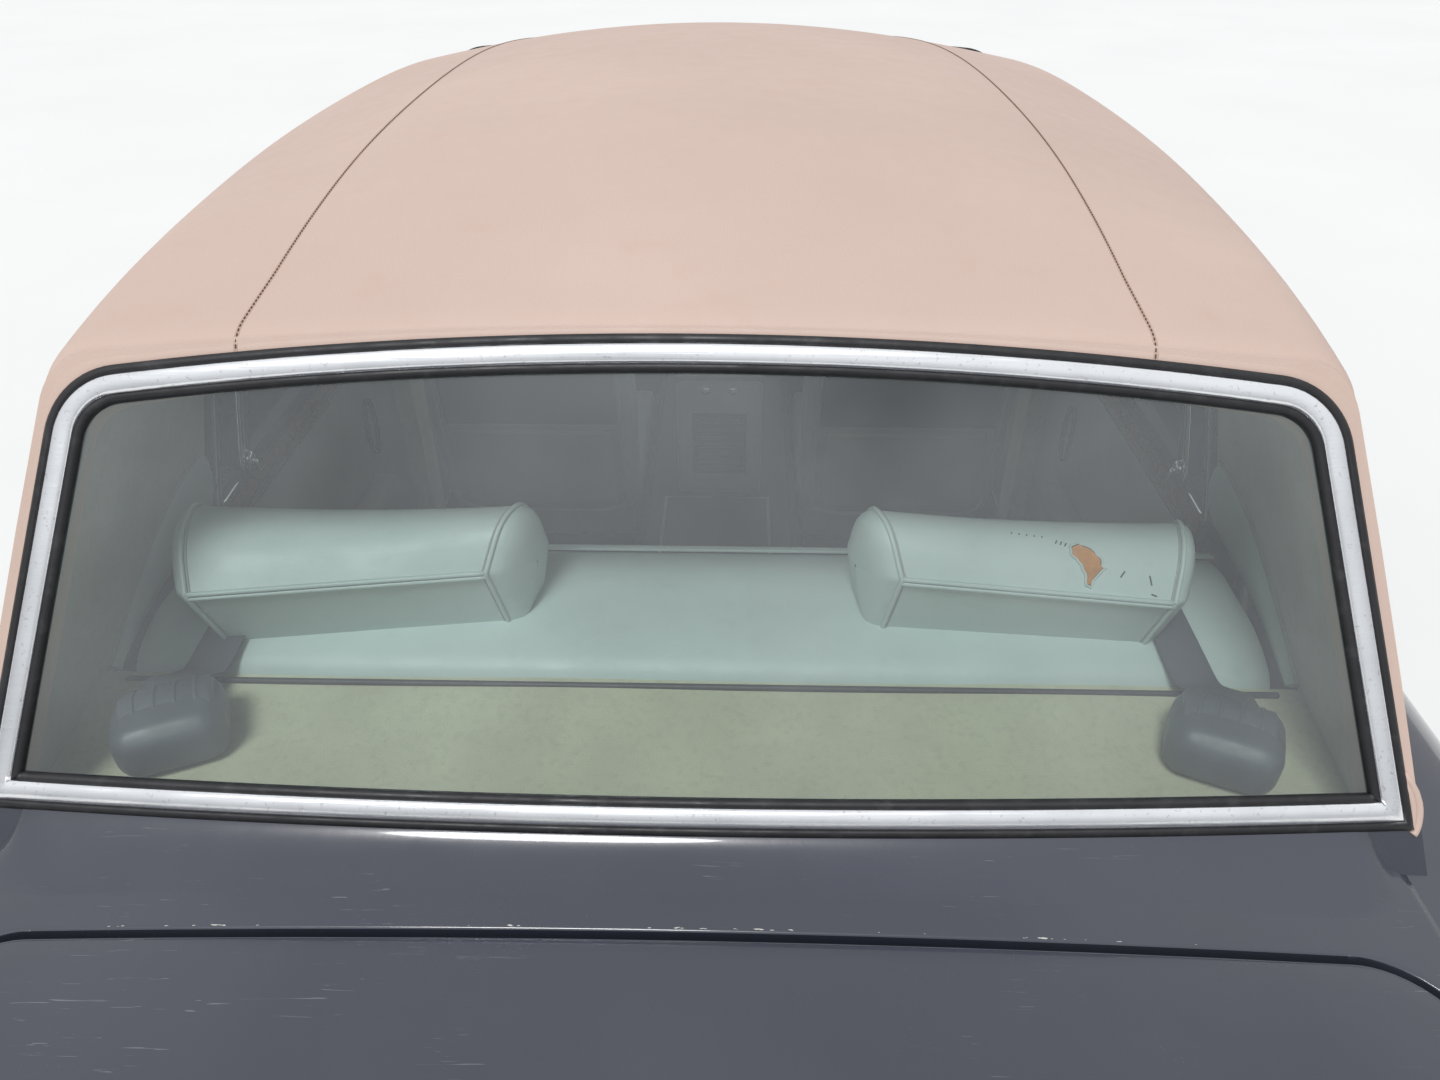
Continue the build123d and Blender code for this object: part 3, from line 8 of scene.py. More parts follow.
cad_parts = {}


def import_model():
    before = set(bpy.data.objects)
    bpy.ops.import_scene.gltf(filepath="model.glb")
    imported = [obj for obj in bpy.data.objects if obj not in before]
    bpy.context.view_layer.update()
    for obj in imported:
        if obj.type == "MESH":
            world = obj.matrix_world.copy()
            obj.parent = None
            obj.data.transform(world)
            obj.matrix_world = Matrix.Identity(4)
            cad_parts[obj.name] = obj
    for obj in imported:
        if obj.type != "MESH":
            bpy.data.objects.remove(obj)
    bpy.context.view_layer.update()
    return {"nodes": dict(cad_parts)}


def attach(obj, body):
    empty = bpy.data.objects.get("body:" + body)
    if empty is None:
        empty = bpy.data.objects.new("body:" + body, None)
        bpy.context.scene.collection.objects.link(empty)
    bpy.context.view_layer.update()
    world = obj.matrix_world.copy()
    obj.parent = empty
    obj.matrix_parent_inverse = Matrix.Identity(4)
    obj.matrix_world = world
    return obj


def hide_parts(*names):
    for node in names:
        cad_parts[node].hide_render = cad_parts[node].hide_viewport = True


# The looks of a large four-door saloon with a padded vinyl roof, seen from behind and above.
# Shapes are given in millimetres in the model's own frame: -Y is the front, +X the car's left, Z up.

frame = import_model()
NODES = frame["nodes"]
MM = 0.001
rng = np.random.default_rng(7)

# sizes, in millimetres and radians, as in the model's source
HALF_WIDTH = 910
FRONT_AXLE_Y, REAR_AXLE_Y, AXLE_Z = -1700, 1350, 355
NOSE_Y, TAIL_Y = -2505, 2505
WIDEST_Z, SILL_TUCK, SHOULDER_TUCK, SILL_BOTTOM_Z, SILL_TOP_Z = 640, 68, 22, 215, 294
FRONT_DOOR_Y, FRONT_DOOR_END_Y, REAR_DOOR_Y, REAR_DOOR_END_Y, REAR_WING_Y = -872, 98, 104, 984, 990
DOOR_TOP_Z, DOOR_BOTTOM_Z, WAIST_Z = 1352, 300, 950
BONNET_REAR_Y, BONNET_FRONT_Y = -790, NOSE_Y + 75
BOOT_LID_Y, BOOT_LID_HALF, BOOT_LID_CORNER, BOOT_LID_BOTTOM_Z, LID_GAP = 1668, 665, 80, 560, 8
SCREEN_Y, SCREEN_Z, SCREEN_SLOPE, SCREEN_BOW = 1560, 1030, radians(57), 21
SCREEN_BASE, SCREEN_TOP, SCREEN_HEIGHT, SCREEN_CROWN, SCREEN_CORNER = 665, 590, 433, 46, 62
SHELF_Z = 978
REAR_ARCH, FRONT_ARCH = 385, 398
ROOF_THICKNESS = 34
WINDSCREEN_Y, WINDSCREEN_Z, WINDSCREEN_SLOPE = -690, 1024, radians(48)
WINDSCREEN_BOW, WINDSCREEN_BASE = 60, 668
CABIN_FOOT_Z, DECK_HALF, WHEEL_X = 975, 682, 750
HEADLAMP_RADIUS, HEADLAMP_Z, HANDLE_Z, DIVIDER_Y = 86, 690, 858, 812

# place along the car, side tuck, crown height, drop to the shoulder, shoulder radius
BODY_SECTIONS = (
    (NOSE_Y - 20, 65, 962, 60, 80), (NOSE_Y + 400, 30, 985, 60, 80), (FRONT_AXLE_Y + 200, 8, 1004, 62, 90),
    (FRONT_DOOR_Y + 180, 2, 1018, 70, 95), (98, 0, 1020, 68, 105), (REAR_AXLE_Y - 350, 4, 1014, 58, 125),
    (SCREEN_Y + 90, 17, 999, 38, 145), (REAR_AXLE_Y + 800, 42, 966, 33, 125),
    (TAIL_Y + 20, 74, 928, 33, 110),
)
# place along the car, half width at the base, half width at the cant rail, its height, crown, corner radius
CABIN_SECTIONS = (
    (-950, 760, 600, 1270, 1310, 50), (-500, 790, 650, 1345, 1400, 60), (-200, 798, 685, 1375, 1455, 75),
    (200, 802, 700, 1388, 1508, 85), (600, 800, 695, 1392, 1512, 85), (900, 790, 670, 1393, 1494, 80),
    (1300, 758, 615, 1383, 1418, 60), (1700, 716, 560, 1310, 1330, 50),
)
CABIN_BASE_Z, SIDE_BARREL = 880, 8


# curves and the surfaces of body and cabin
def unit(value):
    """The value, kept between 0 and 1."""
    return min(1.0, max(0.0, value))


def eased(share):
    return share * share * (3 - 2 * share)


def around(count):
    """Even angles, once round."""
    return np.linspace(0, 2 * pi, count, endpoint=False)


def spline(rows):
    """A natural cubic through a table's rows, as a function of its first column."""
    x = np.array([row[0] for row in rows], float)
    v = np.array([row[1:] for row in rows], float)
    n, h = len(x), np.diff(x)
    left, right = np.eye(n), np.zeros((n, v.shape[1]))
    for i in range(1, n - 1):
        left[i, i - 1], left[i, i], left[i, i + 1] = h[i - 1], 2 * (h[i - 1] + h[i]), h[i]
        right[i] = 6 * ((v[i + 1] - v[i]) / h[i] - (v[i] - v[i - 1]) / h[i - 1])
    m = np.linalg.solve(left, right)

    def at(q):
        i = min(max(int(np.searchsorted(x, q)) - 1, 0), n - 2)
        t, w = q - x[i], h[i]
        slope = (v[i + 1] - v[i]) / w - w * (2 * m[i] + m[i + 1]) / 6
        return v[i] + t * slope + t * t * m[i] / 2 + t ** 3 * (m[i + 1] - m[i]) / (6 * w)

    return at


BODY_AT, CABIN_AT = spline(BODY_SECTIONS), spline(CABIN_SECTIONS)


def circle_through(a, b, c):
    (ax, az), (bx, bz), (cx, cz) = a, b, c
    d = 2 * (ax * (bz - cz) + bx * (cz - az) + cx * (az - bz))
    aa, bb, cc = ax * ax + az * az, bx * bx + bz * bz, cx * cx + cz * cz
    centre = np.array(((aa * (bz - cz) + bb * (cz - az) + cc * (az - bz)) / d,
                       (aa * (cx - bx) + bb * (ax - cx) + cc * (bx - ax)) / d))
    return centre, hypot(ax - centre[0], az - centre[1])


def half_profile(low, middle, high, crown, radius):
    """Points from the middle of the top, over a rounded corner, down the side to low."""
    rise = crown - high[1]
    top_r = (high[0] ** 2 + rise ** 2) / (2 * rise)
    top_c = np.array((0.0, crown - top_r))
    side_c, side_r = circle_through(low, middle, high)
    ra, rb, gap = top_r - radius, side_r - radius, side_c - top_c
    dist = np.linalg.norm(gap)
    along = (ra ** 2 - rb ** 2 + dist ** 2) / (2 * dist)
    off = sqrt(max(0.0, ra ** 2 - along ** 2))
    foot, across = top_c + gap * along / dist, np.array((-gap[1], gap[0])) / dist
    corner = min((foot + across * off, foot - across * off), key=lambda p: hypot(*(p - np.array(high))))
    a, b = corner - top_c, corner - side_c
    first_turn, second_turn = np.arctan2(a[1], a[0]), np.arctan2(b[1], b[0])
    last_turn = np.arctan2(low[1] - side_c[1], low[0] - side_c[0])
    arcs = ((top_c, top_r, pi / 2, first_turn, 70), (corner, radius, first_turn, second_turn, 50),
            (side_c, side_r, second_turn, last_turn, 90))
    points = []
    for centre, r, first, last, count in arcs:
        for angle in np.linspace(first, last, count)[1 if points else 0:]:
            points.append((centre[0] + r * cos(angle), centre[1] + r * sin(angle)))
    return np.array(points)


def body_profile(y, grow=0.0):
    tuck, crown, drop, radius = BODY_AT(y)
    widest = HALF_WIDTH - tuck + grow
    return half_profile((widest - SILL_TUCK, SILL_BOTTOM_Z), (widest, WIDEST_Z),
                        (widest - SHOULDER_TUCK, crown - drop + grow), crown + grow, radius)


def cabin_profile(y, grow=0.0):
    base, cant, cant_z, crown, radius = CABIN_AT(y) + np.array((grow, grow, grow, grow, 0))
    return half_profile((base, CABIN_BASE_Z),
                        ((base + cant) / 2 + SIDE_BARREL, (CABIN_BASE_Z + cant_z) / 2),
                        (cant, cant_z), crown, radius)


def lengths(profile):
    return np.concatenate(([0], np.cumsum(np.hypot(*np.diff(profile, axis=0).T))))


def at_x(profile, x):
    """How far along a profile it reaches this x, on its top."""
    k = int(np.argmax(profile[:, 0])) + 1
    return float(np.interp(x, profile[:k, 0], lengths(profile)[:k]))


def at_z(profile, z):
    return float(np.interp(-z, -profile[:, 1], lengths(profile)))


def along(profile, s):
    run = lengths(profile)
    return float(np.interp(s, run, profile[:, 0])), float(np.interp(s, run, profile[:, 1]))


def body_top(y, x, grow=0.0):
    profile = body_profile(y, grow)
    return along(profile, at_x(profile, abs(x)))[1]


def body_side(y, z, grow=0.0):
    profile = body_profile(y, grow)
    return along(profile, at_z(profile, z))[0]


def cabin_side(y, z, grow=0.0):
    profile = cabin_profile(y, grow)
    return along(profile, at_z(profile, z))[0]


def cabin_top(y, x, grow=0.0):
    profile = cabin_profile(y, grow)
    return along(profile, at_x(profile, abs(x)))[1]


def screen_y(x, z):
    """Where the rear screen's outer face is, along the car."""
    return SCREEN_Y - SCREEN_BOW * (x / SCREEN_BASE) ** 2 - (z - SCREEN_Z) / tan(SCREEN_SLOPE)


def tail_y(x, z):
    """Where the tail's face is, along the car."""
    side = -28 * (z - 620) / 271 if z > 620 else -60 * (620 - z) / 520
    return TAIL_Y - 60 * (x / 930) ** 2 + side


def bezier(a, e, b, t):
    return (1 - t) ** 2 * a + 2 * t * (1 - t) * e + t * t * b


# making pieces
def units(rows):
    """Each row of a table of directions at length 1."""
    return rows / np.linalg.norm(rows, axis=1, keepdims=True)


def piece(name, points, faces, mat, body="body", slot=None):
    """A mesh piece from points in millimetres."""
    mesh = bpy.data.meshes.new(name)
    mesh.from_pydata([tuple(float(c) * MM for c in p) for p in points], [], faces)
    mesh.validate()
    mesh.update()
    obj = bpy.data.objects.new(name, mesh)
    bpy.context.scene.collection.objects.link(obj)
    obj.data.materials.append(mat)
    obj.data.polygons.foreach_set("use_smooth", [True] * len(mesh.polygons))
    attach(obj, body)
    return obj


def grid(name, rows, mat, body="body", roll=0.0, depth=0.0, flip=False, wrap=False, slot=None,
         open_sides=()):
    """A piece from rows of points. roll rounds its edges over by that radius and depth takes them on down.
    open_sides names the sides, of first, last, left and right, that stay plain."""
    p = np.array(rows, float)
    n, m = p.shape[:2]
    points = [tuple(q) for q in p.reshape(-1, 3)]
    faces = []
    for i in range(n - 1):
        for j in range(m if wrap else m - 1):
            a, b = i * m + j, i * m + (j + 1) % m
            faces.append((a, b, b + m, a + m))
    if roll:
        du, dv = np.gradient(p, axis=0), np.gradient(p, axis=1)
        normal = np.cross(du, dv)
        normal /= np.linalg.norm(normal, axis=2, keepdims=True) + 1e-9
        if not flip:
            normal = -normal
        loop = ([(0, j, "first") for j in range(m)] + [(i, m - 1, "right") for i in range(1, n)]
                + [(n - 1, j, "last") for j in range(m - 2, -1, -1)] + [(i, 0, "left")
                                                                        for i in range(n - 2, 0, -1)])
        outward = []
        for i, j, _ in loop:
            o = np.zeros(3)
            if i == 0 and "first" not in open_sides:
                o += (p[0, j] - p[1, j]) / (np.linalg.norm(p[0, j] - p[1, j]) + 1e-9)
            if i == n - 1 and "last" not in open_sides:
                o += (p[-1, j] - p[-2, j]) / (np.linalg.norm(p[-1, j] - p[-2, j]) + 1e-9)
            if j == 0 and "left" not in open_sides:
                o += (p[i, 0] - p[i, 1]) / (np.linalg.norm(p[i, 0] - p[i, 1]) + 1e-9)
            if j == m - 1 and "right" not in open_sides:
                o += (p[i, -1] - p[i, -2]) / (np.linalg.norm(p[i, -1] - p[i, -2]) + 1e-9)
            outward.append(o / (np.linalg.norm(o) + 1e-9))
        ring = [i * m + j for i, j, _ in loop]
        steps = [(sin(a), 1 - cos(a)) for a in (pi / 6, pi / 3, pi / 2)] + [(1.0, 1 + depth / roll)]
        for out, down in steps:
            start = len(points)
            for (i, j, _), o in zip(loop, outward):
                points.append(tuple(p[i, j] + o * roll * out - normal[i, j] * roll * down))
            new = list(range(start, len(points)))
            for k in range(len(ring)):
                q = (k + 1) % len(ring)
                faces.append((ring[k], new[k], new[q], ring[q]))
            ring = new
    if flip:
        faces = [tuple(reversed(f)) for f in faces]
    return piece(name, points, faces, mat, body, slot=slot)


def sweep(name, path, normals, profile, mat, body="body", closed=False, slot=None):
    """A section, as (across, up) points, taken along a path with mitred corners.
    normals is one direction for the whole path or one for each of its points."""
    path, normals = np.array(path, float), np.array(normals, float)
    count = len(path)
    nxt, prv = np.roll(path, -1, axis=0), np.roll(path, 1, axis=0)
    after, before = nxt - path, path - prv
    if not closed:
        after[-1], before[0] = before[-1], after[0]
    after, before = units(after), units(before)
    tangent = units(after + before)
    across = units(np.cross(tangent, normals))
    up = np.cross(across, tangent)
    stretch = 1 / np.clip(np.sqrt((1 + (after * before).sum(1)) / 2), 0.5, 1)
    points, faces, k = [], [], len(profile)
    for i in range(count):
        for b, u in profile:
            points.append(tuple(path[i] + across[i] * b * stretch[i] + up[i] * u))
    for i in range(count if closed else count - 1):
        for j in range(k):
            a, b = i * k + j, i * k + (j + 1) % k
            c = (i + 1) % count * k
            faces.append((a, b, c + (j + 1) % k, c + j))
    if not closed:
        faces.append(tuple(range(k - 1, -1, -1)))
        faces.append(tuple(range((count - 1) * k, count * k)))
    return piece(name, points, faces, mat, body, slot=slot)


def round_section(radius, sides=10, flat=1.0):
    return [(radius * cos(a), radius * flat * sin(a)) for a in around(sides)]


def bar_section(half, low, high, bevel=1):
    return [(-half, low), (bevel - half, high), (half - bevel, high), (half, low)]


def tube(name, path, radius, mat, body="body", closed=False, slot=None, sides=10):
    """A round piece along a path."""
    path = np.array(path, float)
    spread = path.max(0) - path.min(0)
    up = np.zeros(3)
    up[int(np.argmin(spread))] = 1
    return sweep(name, path, up + 0.01, round_section(radius, sides), mat, body, closed, slot)


def revolve(name, profile, centre, axis, mat, body="body", count=72, slot=None):
    """A piece turned about an axis, from (along the axis, radius) points."""
    axis = np.array(axis, float)
    axis /= np.linalg.norm(axis)
    side = np.cross(axis, (0, 0, 1) if abs(axis[2]) < 0.9 else (1, 0, 0))
    side /= np.linalg.norm(side)
    other = np.cross(axis, side)
    rows = []
    for a, r in profile:
        rows.append([np.array(centre) + axis * a + (side * cos(q) + other * sin(q)) * max(r, 0.01)
                     for q in around(count)])
    return grid(name, rows, mat, body, wrap=True, slot=slot)


def soft_box(name, low, high, radius, mat, body="body", slot=None, crown=0.0, turn=None):
    """A box with rounded edges and slightly crowned faces."""
    low, high = np.array(low, float), np.array(high, float)
    size, centre = (high - low) / 2, (low + high) / 2
    n = 8
    points, faces, index = [], [], {}
    r = min(radius, *(size * 0.98))

    def vertex(q):
        key = tuple(np.round(q, 5))
        if key not in index:
            u = np.array(key)
            inner = size - r
            core = np.clip(u * size, -inner, inner)
            rest = u * size - core
            norm = np.linalg.norm(rest)
            place = core + (rest / norm * r if norm > 1e-9 else 0)
            bulge = crown * (1 - u ** 2)
            push = np.array((u[0] * bulge[1] * bulge[2], u[1] * bulge[0] * bulge[2],
                             u[2] * bulge[0] * bulge[1]))
            place = place + push / (crown * crown if crown else 1) * crown
            index[key] = len(points)
            points.append(place)
        return index[key]

    stops = []
    for axis in range(3):
        inner = max(1e-6, 1 - r / size[axis])
        arc = [inner + (1 - inner) * t for t in (0.35, 0.7, 1.0)]
        stops.append(np.array(sorted([-a for a in arc] + list(np.linspace(-inner, inner, n)) + arc)))
    for axis in range(3):
        a, b = (axis + 1) % 3, (axis + 2) % 3
        for sign in (-1, 1):
            for i in range(len(stops[a]) - 1):
                for j in range(len(stops[b]) - 1):
                    quad = []
                    for s, t in ((i, j), (i + 1, j), (i + 1, j + 1), (i, j + 1)):
                        q = np.zeros(3)
                        q[axis], q[a], q[b] = sign, stops[a][s], stops[b][t]
                        quad.append(vertex(q))
                    faces.append(tuple(quad if sign > 0 else reversed(quad)))
    place = np.array(points)
    if turn is not None:
        place = place @ np.array(turn).T
    return piece(name, place + centre, faces, mat, body, slot=slot)


def rotation(axis, degrees):
    return np.array(Matrix.Rotation(radians(degrees), 3, axis))


# materials
class Shade:
    """A node material on one principled shader."""

    def __init__(self, name, color, rough, metal=0.0, **sockets):
        self.mat = bpy.data.materials.new(name)
        self.mat.use_nodes = True
        self.tree = self.mat.node_tree
        self.shader = self.tree.nodes["Principled BSDF"]
        self.color = tuple(color) + (1,)
        self.shader.inputs["Base Color"].default_value = self.color
        self.shader.inputs["Roughness"].default_value = rough
        self.shader.inputs["Metallic"].default_value = metal
        for key, value in sockets.items():
            self.shader.inputs[key.replace("_", " ")].default_value = value
        self.coords = self.tree.nodes.new("ShaderNodeTexCoord").outputs["Object"]
        self.base = None
        self.normal = None

    def node(self, kind, **values):
        made = self.tree.nodes.new(kind)
        for key, value in values.items():
            setattr(made, key, value)
        return made

    def link(self, a, b):
        self.tree.links.new(a, b)

    def mapped(self, scale):
        mapping = self.node("ShaderNodeMapping")
        mapping.inputs["Scale"].default_value = scale
        self.link(self.coords, mapping.inputs["Vector"])
        return mapping.outputs["Vector"]

    def noise(self, scale, detail=4.0, stretch=None, distortion=0.0):
        made = self.node("ShaderNodeTexNoise")
        made.inputs["Scale"].default_value = scale
        made.inputs["Detail"].default_value = detail
        made.inputs["Roughness"].default_value = 0.55
        made.inputs["Distortion"].default_value = distortion
        self.link(self.mapped(stretch) if stretch else self.coords, made.inputs["Vector"])
        return made.outputs["Fac"]

    def cells(self, scale):
        made = self.node("ShaderNodeTexVoronoi", feature="F1")
        made.inputs["Scale"].default_value = scale
        self.link(self.coords, made.inputs["Vector"])
        return made.outputs["Distance"]

    def wave(self, scale, direction):
        made = self.node("ShaderNodeTexWave", bands_direction=direction, wave_profile="SIN")
        made.inputs["Scale"].default_value = scale
        made.inputs["Distortion"].default_value = 0.0
        self.link(self.coords, made.inputs["Vector"])
        return made.outputs["Fac"]

    def spread(self, value, low, high, to_low=0.0, to_high=1.0):
        made = self.node("ShaderNodeMapRange")
        for key, number in (("From Min", low), ("From Max", high), ("To Min", to_low), ("To Max", to_high)):
            made.inputs[key].default_value = number
        self.link(value, made.inputs["Value"])
        return made.outputs["Result"]

    def maths(self, operation, a, b=None):
        made = self.node("ShaderNodeMath", operation=operation)
        for socket, value in zip(made.inputs, (a, b)):
            if value is None:
                continue
            if isinstance(value, (int, float)):
                socket.default_value = value
            else:
                self.link(value, socket)
        return made.outputs["Value"]

    def paint(self, factor, color):
        """Mixes a colour over what is there, by a factor."""
        made = self.node("ShaderNodeMix", data_type="RGBA")
        if self.base is None:
            made.inputs[6].default_value = self.color
        else:
            self.link(self.base, made.inputs[6])
        made.inputs[7].default_value = tuple(color) + (1,)
        self.link(factor, made.inputs[0])
        self.base = made.outputs[2]
        self.link(self.base, self.shader.inputs["Base Color"])
        return self

    def vary(self, amount, scale, detail=5.0):
        """Light and dark patches in the colour."""
        factor = self.spread(self.noise(scale, detail), 0.3, 0.7)
        dark = tuple(c * (1 - amount) for c in self.color[:3])
        light = tuple(min(1, c * (1 + amount)) for c in self.color[:3])
        self.paint(self.maths("MULTIPLY", factor, 0.999), light)
        inverse = self.maths("SUBTRACT", 1.0, factor)
        return self.paint(self.maths("MULTIPLY", inverse, 0.6), dark)

    def roughen(self, value, low, high):
        self.link(self.spread(value, 0.25, 0.75, low, high), self.shader.inputs["Roughness"])
        return self

    def bump(self, height, distance, strength=1.0):
        made = self.node("ShaderNodeBump")
        made.inputs["Distance"].default_value = distance
        made.inputs["Strength"].default_value = strength
        self.link(height, made.inputs["Height"])
        if self.normal is not None:
            self.link(self.normal, made.inputs["Normal"])
        self.normal = made.outputs["Normal"]
        self.link(self.normal, self.shader.inputs["Normal"])
        return self


def body_paint():
    s = Shade("paint_dark_blue", (0.030, 0.034, 0.050), 0.2, 0.0, Coat_Weight=0.6, Coat_Roughness=0.04)
    s.vary(0.22, 1.3, 6)
    s.paint(s.maths("MULTIPLY", s.spread(s.noise(2.2, 8), 0.45, 0.8), 0.35), (0.075, 0.08, 0.095))
    scratch = s.spread(s.noise(14, 2, (1, 26, 1), 1.5), 0.69, 0.72)
    scratch = s.maths("MULTIPLY", scratch, s.spread(s.noise(5, 3), 0.5, 0.62))
    s.paint(s.maths("MULTIPLY", scratch, 0.45), (0.25, 0.26, 0.28))
    dust = s.spread(s.cells(260), 0.12, 0.05)
    s.paint(s.maths("MULTIPLY", dust, s.spread(s.noise(9), 0.55, 0.75, 0, 0.5)), (0.3, 0.3, 0.3))
    s.roughen(s.noise(3.1, 8), 0.12, 0.34)
    return s.bump(s.noise(38, 3), 0.0006, 0.25).bump(s.noise(420, 2), 0.0001, 0.25).mat


def vinyl(name="vinyl_roof"):
    s = Shade(name, (0.565, 0.432, 0.372), 0.62, 0.0, Specular_IOR_Level=0.35)
    s.vary(0.05, 2.6, 6)
    s.paint(s.spread(s.noise(0.9, 5), 0.45, 0.75, 0, 0.3), (0.55, 0.39, 0.312))
    s.paint(s.spread(s.noise(17, 8), 0.55, 0.8, 0, 0.28), (0.52, 0.362, 0.288))
    speck = s.maths("MULTIPLY", s.spread(s.cells(9), 0.03, 0.012), s.spread(s.noise(3.3), 0.52, 0.6))
    s.paint(s.maths("MULTIPLY", speck, 0.7), (0.09, 0.07, 0.06))
    s.roughen(s.noise(30, 6), 0.5, 0.75)
    grain = s.maths("ADD", s.noise(520, 6), s.maths("MULTIPLY", s.cells(900), 0.6))
    return s.bump(s.noise(5, 4), 0.004, 0.25).bump(grain, 0.0005, 0.55)


def leather(name, color, rough=0.42):
    s = Shade(name, color, rough, 0.0, Specular_IOR_Level=0.45)
    s.vary(0.07, 7, 6)
    s.paint(s.spread(s.noise(45, 8), 0.58, 0.8, 0, 0.3), tuple(c * 0.72 for c in color))
    s.roughen(s.noise(22, 6), rough - 0.08, rough + 0.14)
    return s.bump(s.noise(24, 5, None, 0.6), 0.002, 0.3).bump(s.cells(620), 0.0004, 0.35).mat


def chrome():
    s = Shade("chrome", (0.86, 0.87, 0.88), 0.1, 1.0)
    s.vary(0.05, 30, 6)
    s.paint(s.spread(s.noise(160, 8), 0.62, 0.78, 0, 0.35), (0.45, 0.42, 0.38))
    s.roughen(s.noise(60, 8), 0.04, 0.2)
    return s.bump(s.noise(900, 3), 0.00008, 0.35).mat


def worn_chrome():
    s = Shade("chrome_worn", (0.84, 0.85, 0.86), 0.14, 1.0)
    s.paint(s.spread(s.noise(9, 8), 0.42, 0.72, 0, 0.55), (0.62, 0.63, 0.66))
    s.paint(s.spread(s.noise(210, 8), 0.6, 0.75, 0, 0.5), (0.33, 0.31, 0.29))
    streak = s.noise(7, 8, (1, 60, 60))
    s.roughen(streak, 0.08, 0.3)
    return s.bump(streak, 0.0004, 0.2).bump(s.noise(700, 4), 0.0001, 0.4).mat


def rubber():
    s = Shade("rubber_seal", (0.012, 0.012, 0.014), 0.5, 0.0, Specular_IOR_Level=0.4)
    s.vary(0.4, 20)
    s.paint(s.spread(s.noise(60, 8), 0.55, 0.8, 0, 0.5), (0.06, 0.06, 0.06))
    s.roughen(s.noise(35, 6), 0.3, 0.7)
    return s.bump(s.noise(180, 5), 0.0006, 0.4).mat


def plain(name, color, rough, metal=0.0, vary=0.15, scale=30, grain=300, bump=0.0004, **sockets):
    s = Shade(name, color, rough, metal, **sockets)
    s.vary(vary, scale)
    s.roughen(s.noise(scale * 2.3, 6), max(0.03, rough - 0.1), min(1, rough + 0.12))
    return s.bump(s.noise(grain, 4), bump, 0.5).mat


def pane(name, tint, dust):
    """Thin tinted glass: passes light straight through, reflects by its angle and carries a film of dust."""
    mat = bpy.data.materials.new(name)
    mat.use_nodes = True
    tree = mat.node_tree
    tree.nodes.clear()
    out = tree.nodes.new("ShaderNodeOutputMaterial")
    clear = tree.nodes.new("ShaderNodeBsdfTransparent")
    clear.inputs["Color"].default_value = tuple(tint) + (1,)
    shine = tree.nodes.new("ShaderNodeBsdfGlossy")
    shine.inputs["Roughness"].default_value = 0.02
    shine.inputs["Color"].default_value = (0.95, 0.98, 1.0, 1)
    film = tree.nodes.new("ShaderNodeBsdfDiffuse")
    film.inputs["Color"].default_value = (0.62, 0.66, 0.68, 1)
    fresnel = tree.nodes.new("ShaderNodeFresnel")
    fresnel.inputs["IOR"].default_value = 1.65
    coords = tree.nodes.new("ShaderNodeTexCoord")
    noise = tree.nodes.new("ShaderNodeTexNoise")
    noise.inputs["Scale"].default_value = 3.5
    noise.inputs["Detail"].default_value = 8
    tree.links.new(coords.outputs["Object"], noise.inputs["Vector"])
    spread = tree.nodes.new("ShaderNodeMapRange")
    for key, number in (("From Min", 0.3), ("From Max", 0.75), ("To Min", dust * 0.5),
                        ("To Max", dust * 1.6)):
        spread.inputs[key].default_value = number
    tree.links.new(noise.outputs["Fac"], spread.inputs["Value"])
    dusty = tree.nodes.new("ShaderNodeMixShader")
    tree.links.new(spread.outputs["Result"], dusty.inputs["Fac"])
    tree.links.new(clear.outputs["BSDF"], dusty.inputs[1])
    tree.links.new(film.outputs["BSDF"], dusty.inputs[2])
    mixed = tree.nodes.new("ShaderNodeMixShader")
    tree.links.new(fresnel.outputs["Fac"], mixed.inputs["Fac"])
    tree.links.new(dusty.outputs["Shader"], mixed.inputs[1])
    tree.links.new(shine.outputs["BSDF"], mixed.inputs[2])
    tree.links.new(mixed.outputs["Shader"], out.inputs["Surface"])
    return mat


def carpet(name, color):
    s = Shade(name, color, 0.9, 0.0, Sheen_Weight=0.25)
    s.vary(0.12, 9, 6)
    s.paint(s.spread(s.noise(120, 6), 0.5, 0.8, 0, 0.4), tuple(c * 0.6 for c in color))
    return s.bump(s.noise(700, 5), 0.0015, 0.7).mat


def wood():
    s = Shade("walnut", (0.16, 0.065, 0.028), 0.16, 0.0, Coat_Weight=0.7, Coat_Roughness=0.05)
    s.paint(s.spread(s.noise(9, 8, (1, 6, 6), 2.5), 0.4, 0.65), (0.055, 0.02, 0.01))
    s.paint(s.spread(s.noise(60, 6, (0.4, 9, 9), 1.0), 0.5, 0.7, 0, 0.5), (0.24, 0.11, 0.05))
    s.roughen(s.noise(14), 0.1, 0.22)
    return s.bump(s.noise(80, 4), 0.0002, 0.2).mat


PAINT = body_paint()
VINYL = vinyl().mat


def shell_cover():
    """Vinyl, but painted on the windscreen's pillars and on the foot behind the rear pillar."""
    s = vinyl("vinyl_and_paint")
    place = s.node("ShaderNodeNewGeometry")
    split = s.node("ShaderNodeSeparateXYZ")
    s.link(place.outputs["Position"], split.inputs[0])
    ahead = s.spread(split.outputs["Y"], -0.262, -0.266)
    behind, under = s.spread(split.outputs["Y"], 1.524, 1.528), s.spread(split.outputs["Z"], 1.030, 1.026)
    painted = s.maths("MAXIMUM", ahead, s.maths("MULTIPLY", behind, under))
    s.paint(painted, (0.030, 0.034, 0.050))
    s.link(painted, s.shader.inputs["Coat Weight"])
    return s.mat


